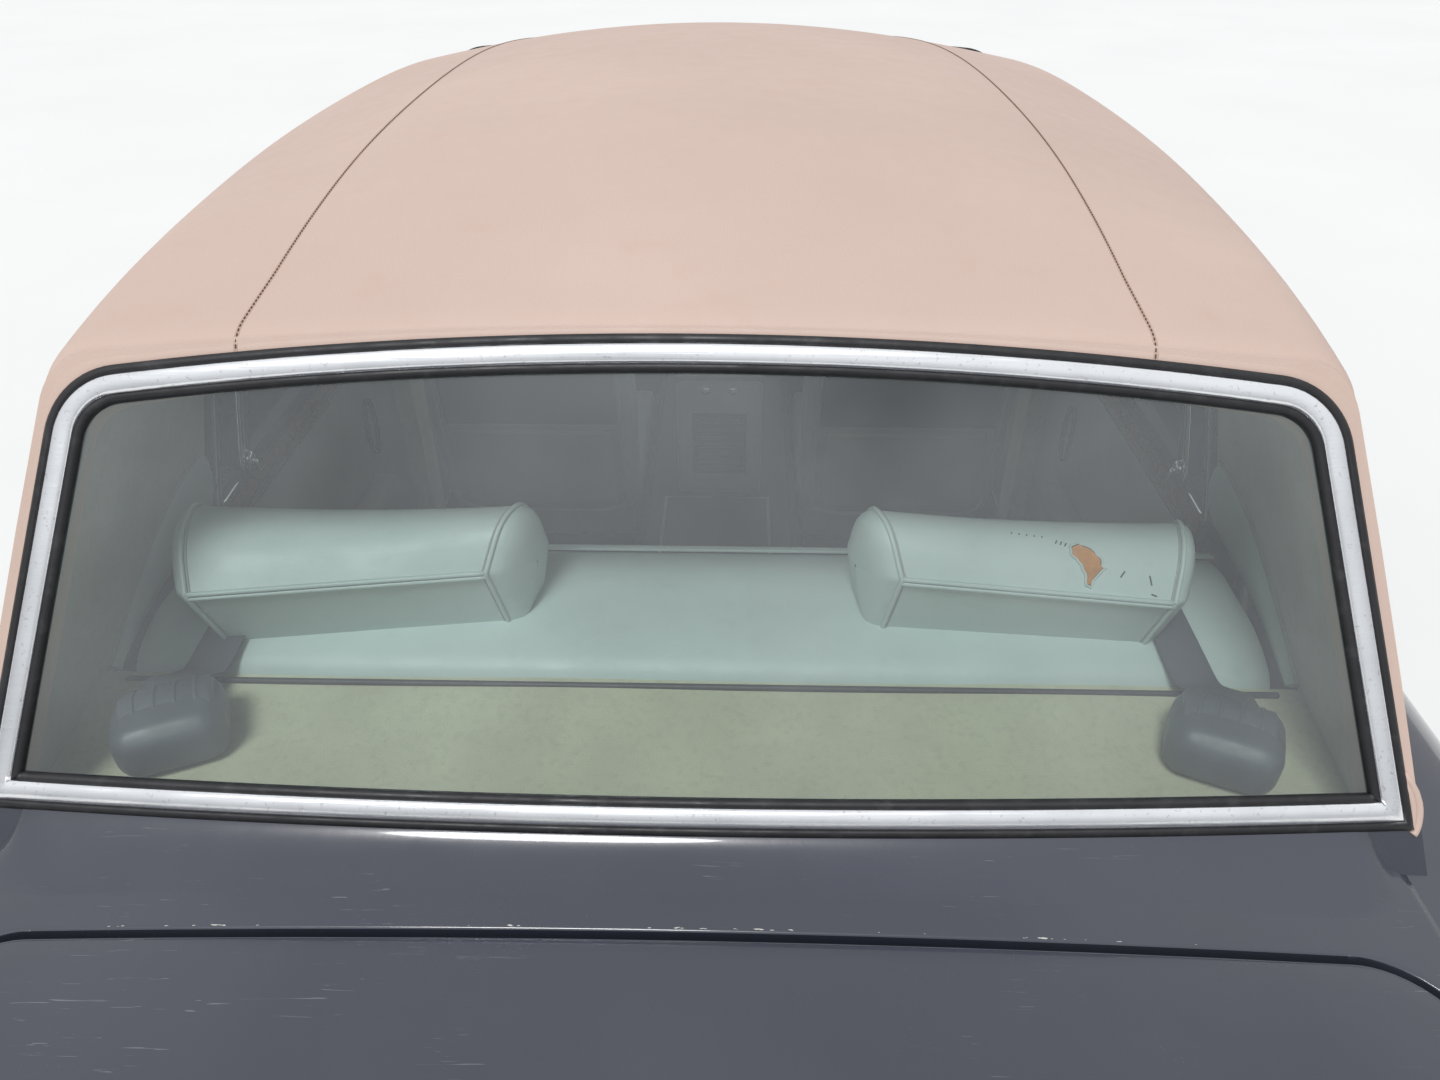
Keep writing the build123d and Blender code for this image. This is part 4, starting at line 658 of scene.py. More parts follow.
SHELL_COVER = shell_cover()
CHROME = chrome()
WORN = worn_chrome()
RUBBER = rubber()
LEATHER = leather("leather_pale", (0.50, 0.60, 0.585))
# a darker, greyer copy of the pale leather: painted shade, used on the front seats, console, door cards and
# for the pleat lines, seams and stitching
LEATHER_SHADED = leather("leather_pale_shaded", (0.36, 0.38, 0.385), 0.5)
LINING_CLOTH = carpet("headlining_cloth", (0.48, 0.47, 0.42))
CARPET = carpet("carpet_floor", (0.085, 0.085, 0.09))
SHELF_CLOTH = carpet("shelf_cloth", (0.56, 0.57, 0.41))
WOOD = wood()
DARK_TRIM = plain("dark_trim", (0.03, 0.032, 0.036), 0.5)
REEL_PLASTIC = plain("reel_plastic", (0.085, 0.1, 0.115), 0.42)
PLASTIC = plain("plastic_black", (0.02, 0.02, 0.022), 0.45)
UNDERSEAL = plain("underseal", (0.016, 0.016, 0.017), 0.8, bump=0.002, grain=160)
CAST = plain("cast_metal", (0.30, 0.30, 0.30), 0.5, 0.8, bump=0.001, grain=220)
STEEL = plain("steel_bare", (0.42, 0.41, 0.40), 0.35, 1.0, vary=0.25)
TYRE = plain("tyre_rubber", (0.018, 0.018, 0.019), 0.75, vary=0.3, bump=0.0006)
GLASS_REAR = pane("glass_rear", (0.93, 0.985, 0.96), 0.11)
GLASS_SIDE = pane("glass_side", (0.90, 0.97, 0.93), 0.03)
LENS_RED = plain("lens_red", (0.42, 0.012, 0.014), 0.12, 0.0, Coat_Weight=0.6)
LENS_AMBER = plain("lens_amber", (0.75, 0.22, 0.02), 0.12, 0.0, Coat_Weight=0.6)
PLATE = plain("plate_blank", (0.62, 0.60, 0.50), 0.4)
WHEEL_PAINT = plain("wheel_paint", (0.040, 0.045, 0.060), 0.3, 0.0, Coat_Weight=0.4)

# materials of the nodes carried over from the model
NODE_MATERIALS = {
    "belt_reels": REEL_PLASTIC, "bonnet": PAINT, "boot_lid": PAINT, "console": LEATHER_SHADED,
    "dashboard": DARK_TRIM,
    "driveline": CAST, "engine": CAST, "exhaust": STEEL, "floor_pan": UNDERSEAL, "front_bumper": CHROME,
    "rear_bumper": CHROME, "front_panel": PAINT, "front_seats": LEATHER_SHADED, "rear_seat": LEATHER,
    "rear_headrests": LEATHER, "front_subframe": UNDERSEAL, "grille": CHROME, "headlamps": CHROME,
    "middle_pillars": LINING_CLOTH, "parcel_shelf": SHELF_CLOTH, "radiator": DARK_TRIM, "rear_deck": PAINT,
    "rear_suspension": UNDERSEAL, "rear_window": GLASS_REAR, "windscreen": GLASS_SIDE,
    "roof_shell": SHELL_COVER,
    "screen_surrounds": RUBBER, "scuttle": PAINT, "steering_wheel": PLASTIC, "tail_lamps": LENS_RED,
    "tail_panel": PAINT, "towing_eye": UNDERSEAL,
}
for side in ("left", "right"):
    for place in ("front", "rear"):
        NODE_MATERIALS[f"{place}_door_{side}"] = PAINT
        NODE_MATERIALS[f"{place}_door_glass_{side}"] = GLASS_SIDE
        NODE_MATERIALS[f"{place}_wing_{side}"] = PAINT
        NODE_MATERIALS[f"tyre_{place}_{side}"] = TYRE
        NODE_MATERIALS[f"wheel_{place}_{side}"] = WHEEL_PAINT
    NODE_MATERIALS[f"knuckle_{side}"] = UNDERSEAL
for name, node in NODES.items():
    node.data.materials.clear()
    node.data.materials.append(NODE_MATERIALS[name])
SIDES = (("left", 1), ("right", -1))


def mirrored(rows, sign):
    p = np.array(rows, float)
    p[..., 0] *= sign
    return p


# painted skins: smooth panels drawn from the body's sections, their edges rolled over by EDGE
EVEN = np.linspace(0, 1, 60)
EDGE = 2.5


def skin(name, places, start_x, end_z, sign, body="body", shift=None, open_sides=()):
    """A panel between a line on the body's top, given as x, and one on its side, given as z."""
    rows = []
    for y in places:
        profile = body_profile(y, 1.0)
        a, b = at_x(profile, start_x(y)), at_z(profile, end_z(y))
        row = []
        for f in EVEN:
            x, z = along(profile, a + (b - a) * f)
            row.append((x * sign, y + (shift(y, x) if shift else 0.0), z))
        rows.append(row)
    return grid(name, rows, PAINT, body, EDGE, 4, flip=sign < 0, slot="paint", open_sides=open_sides)


def finer(low, high, count, *marks):
    """Even places from low to high, with extra ones closing in on each mark."""
    places = set(np.linspace(low, high, count))
    for mark in marks:
        for step in (0, 0.6, 2, 5, 10, 18, 30, 46):
            for q in (mark - step, mark + step):
                if low <= q <= high:
                    places.add(q)
    return sorted(round(float(q), 2) for q in places)


def arch_z(y, centre, radius, low):
    reach = abs(y - centre)
    if reach >= radius:
        return low
    return max(low, AXLE_Z + sqrt(radius ** 2 - reach ** 2))



def front_wing_start(y):
    share = (y - BONNET_FRONT_Y) / (BONNET_REAR_Y - BONNET_FRONT_Y)
    return 610 + 80 * share + 6 + EDGE if y < BONNET_REAR_Y - 8 else 698 + EDGE


def swing_shift(length, y0, y1, weight_end):
    """Bends a door's edge lines so that they lie on circles about the hinge."""

    def shift(y, x):
        share = unit((y - y0) / (y1 - y0))
        bend = sqrt(length ** 2 - (HALF_WIDTH - x) ** 2) - length
        return bend * (share if weight_end else 1 - share)

    return shift


def door_start(y):
    return cabin_side(y, WAIST_Z + 14) + 7


for side, sign in SIDES:
    wing_rows = finer(BONNET_FRONT_Y - 4, FRONT_DOOR_Y - 6 - EDGE, 70, FRONT_AXLE_Y - FRONT_ARCH - 3,
                      FRONT_AXLE_Y + FRONT_ARCH + 3)
    skin(f"front_wing_skin_{side}", wing_rows, front_wing_start,
         lambda y: arch_z(y, FRONT_AXLE_Y, FRONT_ARCH + EDGE, SILL_TOP_Z + EDGE), sign,
         open_sides=("first",))
    front_rows = finer(FRONT_DOOR_Y + EDGE, FRONT_DOOR_END_Y - EDGE, 28)
    skin(f"front_door_skin_{side}", front_rows, door_start, lambda y: DOOR_BOTTOM_Z + EDGE, sign,
         f"front_door_{side}", shift=swing_shift(970, FRONT_DOOR_Y, FRONT_DOOR_END_Y, True))
    rear_rows = finer(REAR_DOOR_Y + EDGE, REAR_DOOR_END_Y - EDGE, 28, 921)
    front_edge = swing_shift(976, REAR_DOOR_Y, REAR_DOOR_END_Y, False)
    rear_edge = swing_shift(880, REAR_DOOR_Y, REAR_DOOR_END_Y, True)
    skin(f"rear_door_skin_{side}", rear_rows, door_start,
         lambda y: arch_z(y, REAR_AXLE_Y, REAR_ARCH + 47 + EDGE, DOOR_BOTTOM_Z + EDGE), sign,
         f"rear_door_{side}", shift=lambda y, x: front_edge(y, x) + rear_edge(y, x))

bonnet_rows = []
for y in finer(BONNET_FRONT_Y + EDGE, BONNET_REAR_Y - EDGE, 40):
    half = 610 + 80 * (y - BONNET_FRONT_Y) / (BONNET_REAR_Y - BONNET_FRONT_Y) - EDGE
    bonnet_rows.append([(half * c, y, body_top(y, half * c, 1.0)) for c in np.linspace(-1, 1, 61)])
grid("bonnet_skin", bonnet_rows, PAINT, "bonnet", 2.5, 4, slot="paint")


# rear wings, each one smooth panel from the cabin's foot and the boot opening down to the sill
OPENING_HALF = BOOT_LID_HALF + LID_GAP
OPENING_Y = BOOT_LID_Y - LID_GAP
OPENING_CORNER = BOOT_LID_CORNER + LID_GAP


def opening_x(y):
    """The boot opening's edge: across its front corner, then along its side."""
    into = OPENING_Y + OPENING_CORNER - y
    if into <= 0:
        return OPENING_HALF
    return OPENING_HALF - OPENING_CORNER + sqrt(max(0, OPENING_CORNER ** 2 - into ** 2))


def wing_start(y):
    """The wing's inner edge: under the cabin's foot, then across to the boot opening and along it."""
    if y < OPENING_Y:
        share = eased(unit((y - 1486) / 50))
        return (cabin_side(y, CABIN_FOOT_Z) - 22) * (1 - share) + (OPENING_HALF - OPENING_CORNER) * share
    return opening_x(y) + EDGE * min(1, (y - OPENING_Y) / 30)


def wing_end(y):
    return arch_z(y, REAR_AXLE_Y, REAR_ARCH + EDGE, SILL_TOP_Z + EDGE)


def wing_points(y, fractions):
    """Points (x, z) down the wing at y; fractions run from its inner edge to its lower one."""
    profile = body_profile(y, 0.6)
    a, b = at_x(profile, wing_start(y)), at_z(profile, wing_end(y))
    return [along(profile, a + (b - a) * f) for f in fractions]


def wing_point(y, f):
    return np.array(wing_points(y, (f,))[0])


WING_FRACTIONS = np.concatenate((np.linspace(0, 0.5, 44), np.linspace(0.5, 1, 28)[1:]))
wing_rows = []
for y in finer(REAR_WING_Y + EDGE, 2300, 46, REAR_AXLE_Y + REAR_ARCH + 3, OPENING_Y, 1540):
    wing_rows.append([(x, y, z) for x, z in wing_points(y, WING_FRACTIONS)])
edge_points, inside_points = [], []
for f in WING_FRACTIONS:
    y = 2470.0
    for _ in range(3):
        x, z = wing_point(y, f)
        y = tail_y(x, z)
    edge_points.append(np.array((x, y, z)))
edge_points = np.array(edge_points)
tangent = units(np.gradient(edge_points[:, [0, 2]], axis=0))
for p, t in zip(edge_points, tangent):
    x, z = p[0] + t[1] * 46, p[2] - t[0] * 46
    x = max(x, OPENING_HALF + EDGE)
    inside_points.append((x, tail_y(x, z), z))
inside_points = np.array(inside_points)
before = np.array([(*wing_point(e[1] - 60, f), e[1] - 60) for e, f in zip(edge_points, WING_FRACTIONS)])
before = before[:, [0, 2, 1]]
between = [(*wing_point(y, f), y) for y, f in zip((2300 + before[:, 1]) / 2, WING_FRACTIONS)]
wing_rows.append(np.array(between)[:, [0, 2, 1]])
for t in np.linspace(0, 1, 12):
    wing_rows.append(bezier(before, edge_points, inside_points, t))
inner_line = np.array([(OPENING_HALF + EDGE, tail_y(OPENING_HALF, z), z) for _, _, z in inside_points])
for t in np.linspace(0, 1, 7)[1:]:
    wing_rows.append(inside_points * (1 - t) + inner_line * t)
wing_rows = np.array([np.array(row, float) for row in wing_rows])
for side, sign in SIDES:
    wing = grid(f"rear_wing_skin_{side}", mirrored(wing_rows, sign), PAINT, "body", 2.5, 16, flip=sign < 0,
                slot="paint")
    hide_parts(f"rear_wing_{side}")
    liner = []
    for turn in np.radians(np.linspace(-8, 188, 60)):
        ring = [(x, REAR_ARCH + 2.0) for x in (874, 830, 780, 720, 660, 600)]
        ring += [(592, REAR_ARCH - 8.0), (588, 300.0), (588, 200.0), (588, 90.0)]
        liner.append([(x * sign, REAR_AXLE_Y + r * cos(turn), AXLE_Z + r * sin(turn)) for x, r in ring])
    grid(f"rear_wheelhouse_{side}", liner, UNDERSEAL, "body", flip=sign > 0)
    liner = []
    for y in np.linspace(REAR_AXLE_Y + REAR_ARCH + 3, 2462, 26):
        ring = [(x, 327.0) for x in (560, 640, body_side(y, 330) - 40, body_side(y, 330) - 26)]
        ring += [(body_side(y, z) - 26, z) for z in np.linspace(336, 872, 20)]
        liner.append([(x * sign, y, z) for x, z in ring])
    grid(f"boot_side_liner_{side}", liner, UNDERSEAL, "body", flip=sign < 0)


# boot lid
lid_columns = []
for q in np.linspace(-1, 1, 91):
    flat = (BOOT_LID_HALF - BOOT_LID_CORNER) / BOOT_LID_HALF
    if abs(q) < 0.8:
        lid_columns.append((q / 0.8 * flat, 0.0))
    else:
        turn = (abs(q) - 0.8) / 0.2 * pi / 2
        out = BOOT_LID_HALF - BOOT_LID_CORNER + BOOT_LID_CORNER * sin(turn)
        lid_columns.append((np.sign(q) * out / BOOT_LID_HALF, BOOT_LID_CORNER * (1 - cos(turn))))
columns = []
for c, back in lid_columns:
    def lid_x(y):
        return c * (BOOT_LID_HALF - EDGE - 15 * (y - BOOT_LID_Y) / 937)

    front = BOOT_LID_Y + EDGE + back
    z, y = 930.0, 2480.0
    for _ in range(3):
        y = tail_y(lid_x(2450), z)
        z = body_top(y, lid_x(2450), 0.6)
    x = lid_x(2450)
    corner = np.array((x, y, z))
    top = np.array((x, y - 70, body_top(y - 70, x, 0.6)))
    low = np.array((x, tail_y(x, z - 60), z - 60))
    column = []
    for t in np.linspace(0, 1, 34):
        y = front + (top[1] - front) * t
        column.append((lid_x(y), y, body_top(y, lid_x(y), 0.6)))
    for t in np.linspace(0, 1, 12)[1:]:
        column.append(bezier(top, corner, low, t))
    for t in np.linspace(0, 1, 14)[1:]:
        zz = low[2] + (BOOT_LID_BOTTOM_Z + EDGE - low[2]) * t
        column.append((x, tail_y(x, zz), zz))
    columns.append(column)
lid_rows = np.array(columns).transpose(1, 0, 2)
grid("boot_lid_skin", lid_rows, PAINT, "boot_lid", 2.5, 16, slot="paint")


# vinyl roof
HEADER_FOLD = 26
ROOF_LIFT = 3.0


def roof_fraction_point(y, f, grow, low_z):
    """f runs from 0 at the middle of the roof to 1 at height low_z on the side."""
    profile = cabin_profile(y, grow)
    end = at_z(profile, low_z)
    return np.array(along(profile, end * f))


def rear_edge_y(place):
    """Where a line along the roof meets the rear screen's plane; place(y) gives its (x, z)."""
    low, high = 1150.0, 1640.0
    for _ in range(40):
        y = (low + high) / 2
        x, z = place(y)
        if y < screen_y(x, z) + 2:
            low = y
        else:
            high = y
    return (low + high) / 2


def front_edge_y(place):
    """Where a line along the roof meets the windscreen's plane."""
    low, high = -940.0, -50.0
    for _ in range(40):
        y = (low + high) / 2
        x, z = place(y)
        glass = WINDSCREEN_Y + WINDSCREEN_BOW * (x / WINDSCREEN_BASE) ** 2
        glass += (z - WINDSCREEN_Z) / tan(WINDSCREEN_SLOPE)
        if y > glass - 2:
            high = y
        else:
            low = y
    return (low + high) / 2


REAR_SCREEN = dict(y=SCREEN_Y, z=SCREEN_Z, slope=SCREEN_SLOPE, bow=SCREEN_BOW, base=SCREEN_BASE,
                   top=SCREEN_TOP, height=SCREEN_HEIGHT, crown=SCREEN_CROWN, way=1)
FRONT_SCREEN = dict(y=WINDSCREEN_Y, z=WINDSCREEN_Z, slope=WINDSCREEN_SLOPE, bow=WINDSCREEN_BOW,
                    base=WINDSCREEN_BASE, top=590, height=520, crown=30, way=-1)


def screen_point(screen, x, h, out=0.0):
    """A point on a screen's face, across it and up its slope, and the face's direction there."""
    way, bow, base, slope = screen["way"], screen["bow"], screen["base"], screen["slope"]
    y = screen["y"] - way * (bow * (x / base) ** 2 + h * cos(slope))
    z = screen["z"] + h * sin(slope)
    normal = np.array((2 * bow * x / base ** 2, way, 1 / tan(slope)))
    normal /= np.linalg.norm(normal)
    return np.array((x, y, z)) + normal * out, normal


def screen_outline(screen, grow=0.0, closed=True):
    """A screen's outline as (x, h) points, from its left base over the top and back along its base."""
    side_h, r = screen["height"] - screen["crown"], SCREEN_CORNER
    lean = np.array((screen["top"] - screen["base"], side_h), float)
    lean /= np.linalg.norm(lean)
    out = np.array((lean[1], -lean[0]))
    top_r = (screen["top"] ** 2 + screen["crown"] ** 2) / (2 * screen["crown"])
    top_c = np.array((0.0, screen["height"] - top_r))
    base = np.array((screen["base"], 0.0))
    low, high = 0.0, 600.0
    for _ in range(50):
        t = (low + high) / 2
        centre = base + lean * t - out * r
        if np.linalg.norm(centre - top_c) < top_r - r:
            low = t
        else:
            high = t
    touch = base + lean * t
    direction = (centre - top_c) / np.linalg.norm(centre - top_c)
    arc_start = np.arctan2(direction[1], direction[0])
    start = base - lean * (grow / lean[1]) + out * grow
    count = int(t / 8.0)
    points = [start + (touch + out * grow - start) * k / count for k in range(count + 1)]
    for a in np.linspace(np.arctan2(out[1], out[0]), arc_start, 14)[1:]:
        points.append(centre + (r + grow) * np.array((cos(a), sin(a))))
    for a in np.linspace(arc_start, pi / 2, 60)[1:]:
        points.append(top_c + (top_r + grow) * np.array((cos(a), sin(a))))
    half = np.array(points)
    whole = np.vstack((half, half[-2::-1] * (-1, 1)))
    if closed:
        foot = [(x, whole[0][1]) for x in np.linspace(whole[-1][0], whole[0][0], 120)[1:-1]]
        whole = np.vstack((whole, foot))
    return whole


def on_screen(screen, outline, out=0.0):
    placed = [screen_point(screen, x, h, out) for x, h in outline]
    return np.array([p for p, _ in placed]), np.array([n for _, n in placed])


rubber_line = on_screen(REAR_SCREEN, screen_outline(REAR_SCREEN, 15.0, closed=False))[0]
ROOF_EDGE_Z = DOOR_TOP_Z + 7
TOP_FRACTIONS = np.concatenate((np.linspace(0, 0.72, 34), np.linspace(0.72, 1, 30)[1:]))


def traced(place, places):
    """Points of a line along the cabin; place(y) gives its (x, z)."""
    return [np.array((x, y, z)) for y, (x, z) in ((y, place(y)) for y in places)]


def covered(place, y0, y1, rows):
    """One line of the cover from y0 back to the rear fold and down to the screen's rubber."""
    points = traced(place, np.linspace(y0, y1 - HEADER_FOLD, rows))
    x, z = place(y1)
    edge = np.array((x, y1, z))
    target = rubber_line[int(np.argmin(np.linalg.norm(rubber_line - edge, axis=1)))]
    away = np.linalg.norm(target - edge) + 1e-6
    after = edge + (target - edge) / away * min(away * 0.8, HEADER_FOLD)
    start = points[-1]
    points += [bezier(start, edge, after, t) for t in np.linspace(0, 1, 9)[1:]]
    points += [after * (1 - t) + target * t for t in np.linspace(0, 1, 4)[1:]]
    return points


PILLAR_Y = 965.0
REAR_ROWS, FRONT_ROWS = 34, 60


def hem_z(y):
    """Where the cover meets the wing."""
    return body_top(y, cabin_side(y, CABIN_FOOT_Z, ROOF_LIFT), 0.6) + 1.0


def pillar_front_y(z):
    return 980.6 - 16 * (z - 960) / 392


def pillar_place(share):
    def place(y):
        z = ROOF_EDGE_Z + (hem_z(y) - ROOF_EDGE_Z) * share
        return cabin_side(y, z, ROOF_LIFT), z
    return place


def weld(obj):
    made = bmesh.new()
    made.from_mesh(obj.data)
    bmesh.ops.remove_doubles(made, verts=made.verts, dist=0.0003)
    bmesh.ops.recalc_face_normals(made, faces=made.faces)
    made.to_mesh(obj.data)
    made.free()
    obj.data.polygons.foreach_set("use_smooth", [True] * len(obj.data.polygons))


def joined_grids(name, grids, mat, slot=None):
    """Several grids of points as one welded piece."""
    points, faces = [], []
    for rows in grids:
        p = np.array(rows, float)
        n, m = p.shape[:2]
        start = len(points)
        points += [tuple(q) for q in p.reshape(-1, 3)]
        for i in range(n - 1):
            for j in range(m - 1):
                a = start + i * m + j
                faces.append((a, a + 1, a + m + 1, a + m))
    made = piece(name, points, faces, mat, slot=slot)
    weld(made)
    return made


top_columns = []
for f in TOP_FRACTIONS:
    place = (lambda q: lambda y: roof_fraction_point(y, q, ROOF_LIFT, ROOF_EDGE_Z))(f)
    y0, y1 = front_edge_y(place), rear_edge_y(place)
    column = traced(place, np.linspace(y0, PILLAR_Y, FRONT_ROWS))[:-1]
    top_columns.append(column + covered(place, PILLAR_Y, y1, REAR_ROWS))

# the cover's sides, which end in a rounded foot behind the rear pillar
FOOT = 30.0
FOOT_Z = hem_z(1500) + FOOT
FOOT_Y = rear_edge_y(lambda y: (cabin_side(y, FOOT_Z, ROOF_LIFT), FOOT_Z)) - FOOT
pillar_columns = []
for g in np.concatenate((np.linspace(0, 0.88, 26), np.linspace(0.88, 1, 14)[1:])):
    place = pillar_place(g)
    y1 = rear_edge_y(place)
    under = FOOT_Z - place(y1)[1]
    if under > 0:
        y1 = FOOT_Y + sqrt(max(0.0, FOOT ** 2 - min(under, FOOT) ** 2))
    z_front = ROOF_EDGE_Z + (hem_z(PILLAR_Y + 14 * g) - ROOF_EDGE_Z) * g
    pillar_columns.append(covered(place, pillar_front_y(z_front), y1, REAR_ROWS))
top_columns, pillar_columns = np.array(top_columns), np.array(pillar_columns)
joined_grids("vinyl_cover",
             [top_columns, mirrored(top_columns, -1), pillar_columns, mirrored(pillar_columns, -1)],
             VINYL, slot="vinyl")

# its seams, with their stitches
SEAM_X = 430
SEAM = leather("vinyl_seam", (0.50, 0.36, 0.29), 0.7)
THREAD = plain("thread_dark", (0.10, 0.07, 0.06), 0.8)


def dashes(name, path, normals, length, pitch, width, mat):
    """Stitches: short rounded bars along a path."""
    path = np.array(path, float)
    normals = np.broadcast_to(np.array(normals, float), path.shape)
    run = np.concatenate(([0], np.cumsum(np.linalg.norm(np.diff(path, axis=0), axis=1))))
    points, faces = [], []
    for s in np.arange(pitch, run[-1] - pitch, pitch):
        a, b, n = (np.array([np.interp(s + d, run, source[:, k]) for k in range(3)])
                   for d, source in ((-length / 2, path), (length / 2, path), (0, normals)))
        way = (b - a) / np.linalg.norm(b - a)
        across = np.cross(way, n)
        base = len(points)
        for place, size in ((a, 0.45), (a + way * length * 0.2, 1), (b - way * length * 0.2, 1), (b, 0.45)):
            for q in (0, pi / 3, 2 * pi / 3, pi):
                points.append(place + (across * cos(q) + n * sin(q)) * width / 2 * size)
        for i in range(3):
            for j in range(3):
                faces.append((base + i * 4 + j, base + i * 4 + j + 1, base + i * 4 + j + 5,
                              base + i * 4 + j + 4))
    return piece(name, points, faces, mat)


def seam_x(y, draw):
    """Half the distance between the seams, smaller toward the front by what draw says."""
    share = max(0.0, (800 - y) / 1040)
    return SEAM_X + 8 - draw * share ** 2.2 - 8 * unit((y - 800) / 400) ** 2


for side, sign, draw in (("left", 1, 42), ("right", -1, 84)):
    def place(y):
        x = seam_x(y, draw)
        return x, cabin_top(y, x, ROOF_LIFT)

    seam_line = traced(place, np.linspace(front_edge_y(place), 700, 50))[:-1]
    seam_line = np.array(seam_line + covered(place, 700, rear_edge_y(place), 40))
    seam_line[:, 0] *= sign
    normals = np.gradient(seam_line, axis=0)
    normals = np.cross(normals, (sign * 1.0, 0.12, 0)) * sign
    normals[:, 0] += 0.12 * sign * np.linalg.norm(normals, axis=1)
    normals = units(normals)
    if normals[0][2] < 0:
        normals = -normals
    sweep(f"roof_seam_{side}", seam_line, normals,
          [(-2.4, -0.6), (-1.8, 0.9), (-0.5, 0.2), (0.5, 0.2), (1.8, 1.0), (2.4, -0.6)], SEAM, slot="vinyl")
    dashes(f"roof_stitches_{side}", seam_line + normals * 0.9, normals, 4.2, 6.2, 1.5, THREAD)

# the cover's folded hem along the wing and up behind the door
for side, sign in SIDES:
    last = pillar_columns[-1]
    hem = [np.array((cabin_side(pillar_front_y(z), z, ROOF_LIFT + 1), pillar_front_y(z), z))
           for z in np.linspace(ROOF_EDGE_Z, hem_z(981) + 8, 40)]
    low = [p + (0.3, 0, 2.0) for p in last[1:-12]]
    away = np.array((0.93 * sign, 0.0, 0.36))
    sweep(f"roof_hem_{side}", mirrored(hem + low, sign), away, round_section(3.2, 10, 0.8), VINYL,
          slot="vinyl")
    foot_side = cabin_side(1542, 1026, ROOF_LIFT)
    for fold, (across, down) in enumerate(((0.0, 27.0), (6.5, 20.5), (13.0, 14.0))):
        reach = foot_side - DECK_HALF - 3.0 - across
        path = [(DECK_HALF + reach - 0.011 * k * k, float(k) - 3) for k in (40, 30, 20, 10, 4)]
        path += [(DECK_HALF + 2 + (reach - 2) * cos(a), -3 - down * 0.8 * sin(a))
                 for a in np.linspace(0, pi / 2.6, 10)]
        path = [screen_point(REAR_SCREEN, sign * x, h, -1.5)[0] for x, h in path]
        tube(f"cover_foot_{side}_{fold}", path, 4.4, VINYL, sides=12, slot="vinyl")
    row = mirrored([p + (0.3, 0, 13.0) for p in last[2:-14]], sign)
    dashes(f"hem_stitches_{side}", row + away * 0.5, away, 4.0, 6.0, 1.4, THREAD)
    row = row + (0, 0, 5.0)
    dashes(f"hem_stitches_upper_{side}", row + away * 0.5, away, 4.0, 6.0, 1.4, THREAD)

# screens: rubber, bright strip and glass
OUTER_SEAL = [(-9.5, -2), (-9.5, 3.5), (-12, 4.6), (-15, 4.4), (-18, 2.5), (-19.5, -3)]
BRIGHT = [(10, -1), (10, 2.0), (8.8, 4.4), (6, 5.8), (0, 6.6), (-6, 5.8), (-8.8, 4.4), (-10, 2.0),
          (-10, -1)]
INNER_SEAL = [(18, -4), (17, 0.5), (14.5, 2.6), (10.5, 3.0), (9.5, 2.0), (9.5, -4)]
for label, screen, glass_mat in (("rear", REAR_SCREEN, GLASS_REAR), ("front", FRONT_SCREEN, GLASS_SIDE)):
    line, face = on_screen(screen, screen_outline(screen), 0.0 if label == "rear" else -3.5)
    if label == "front":
        line = line - face * (np.clip((line[:, 2:3] - 1240) / 160, 0, 1) * 7.0)
    flip = screen["way"]
    for part, section, mat in (("seal_outer", OUTER_SEAL, RUBBER), ("strip", BRIGHT, WORN),
                               ("seal_inner", INNER_SEAL, RUBBER)):
        made = sweep(f"{label}_screen_{part}", line, face, [(b * flip, u) for b, u in section], mat,
                     closed=True, slot="chrome" if part == "strip" else None)
        if label == "rear" and part == "strip":
            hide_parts("screen_surrounds")
    outline = screen_outline(screen, -9.0)
    middle = np.array((0.0, screen["height"] / 2))
    sink = 0.0 if label == "rear" else 4.5
    rings = [[screen_point(screen, *(middle + (np.array(q) - middle) * share), out=-3.0 - sink)[0]
              for q in outline]
             for share in np.linspace(0.0004, 1, 14)]
    made = grid(f"{label}_screen_glass", rings, glass_mat, wrap=True, slot="glass")
    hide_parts("rear_window" if label == "rear" else "windscreen")


# the painted panel between the screen and the boot lid, and the one ahead of the windscreen
def under_screen(screen, x, end_y, lift=1.0):
    start, bend = (screen_point(screen, x, h, 2.0)[0] for h in (-13.0, -27.0))
    end = np.array((x, end_y, body_top(end_y, x, lift)))
    return [bezier(start, bend, end, t) for t in np.linspace(0, 1, 16)]


def deck_end(x):
    """Where the deck stops: at the boot opening's front edge and round its corner."""
    into = min(abs(x) - OPENING_HALF + OPENING_CORNER, OPENING_CORNER - 3)
    if into <= 0:
        return OPENING_Y - EDGE
    return min(1700.0, OPENING_Y + OPENING_CORNER - sqrt(OPENING_CORNER ** 2 - into ** 2) - EDGE)


deck_columns = []
for x in np.linspace(-DECK_HALF, DECK_HALF, 161):
    lift = 1.0 - 0.36 * unit((abs(x) - 560) / 110)
    ramp_end = 1622 - 34 * unit((abs(x) - 590) / 92) ** 2
    column = under_screen(REAR_SCREEN, x, ramp_end, lift)
    column += [np.array((x, y, body_top(y, x, lift))) for y in np.linspace(ramp_end, deck_end(x), 14)[1:]]
    settle = eased(unit((abs(x) - 634) / 46))
    for p in column:
        p[2] += (body_top(p[1], x, lift) - p[2]) * settle
    deck_columns.append(column)
grid("deck_skin", np.array(deck_columns).transpose(1, 0, 2), PAINT, "body", 2.5, 18, slot="paint",
     open_sides=("left", "right"))
columns = [under_screen(FRONT_SCREEN, x, -778) for x in np.linspace(-676, 676, 125)]
grid("scuttle_skin", np.array(columns).transpose(1, 0, 2), PAINT, "body", flip=True, slot="paint")

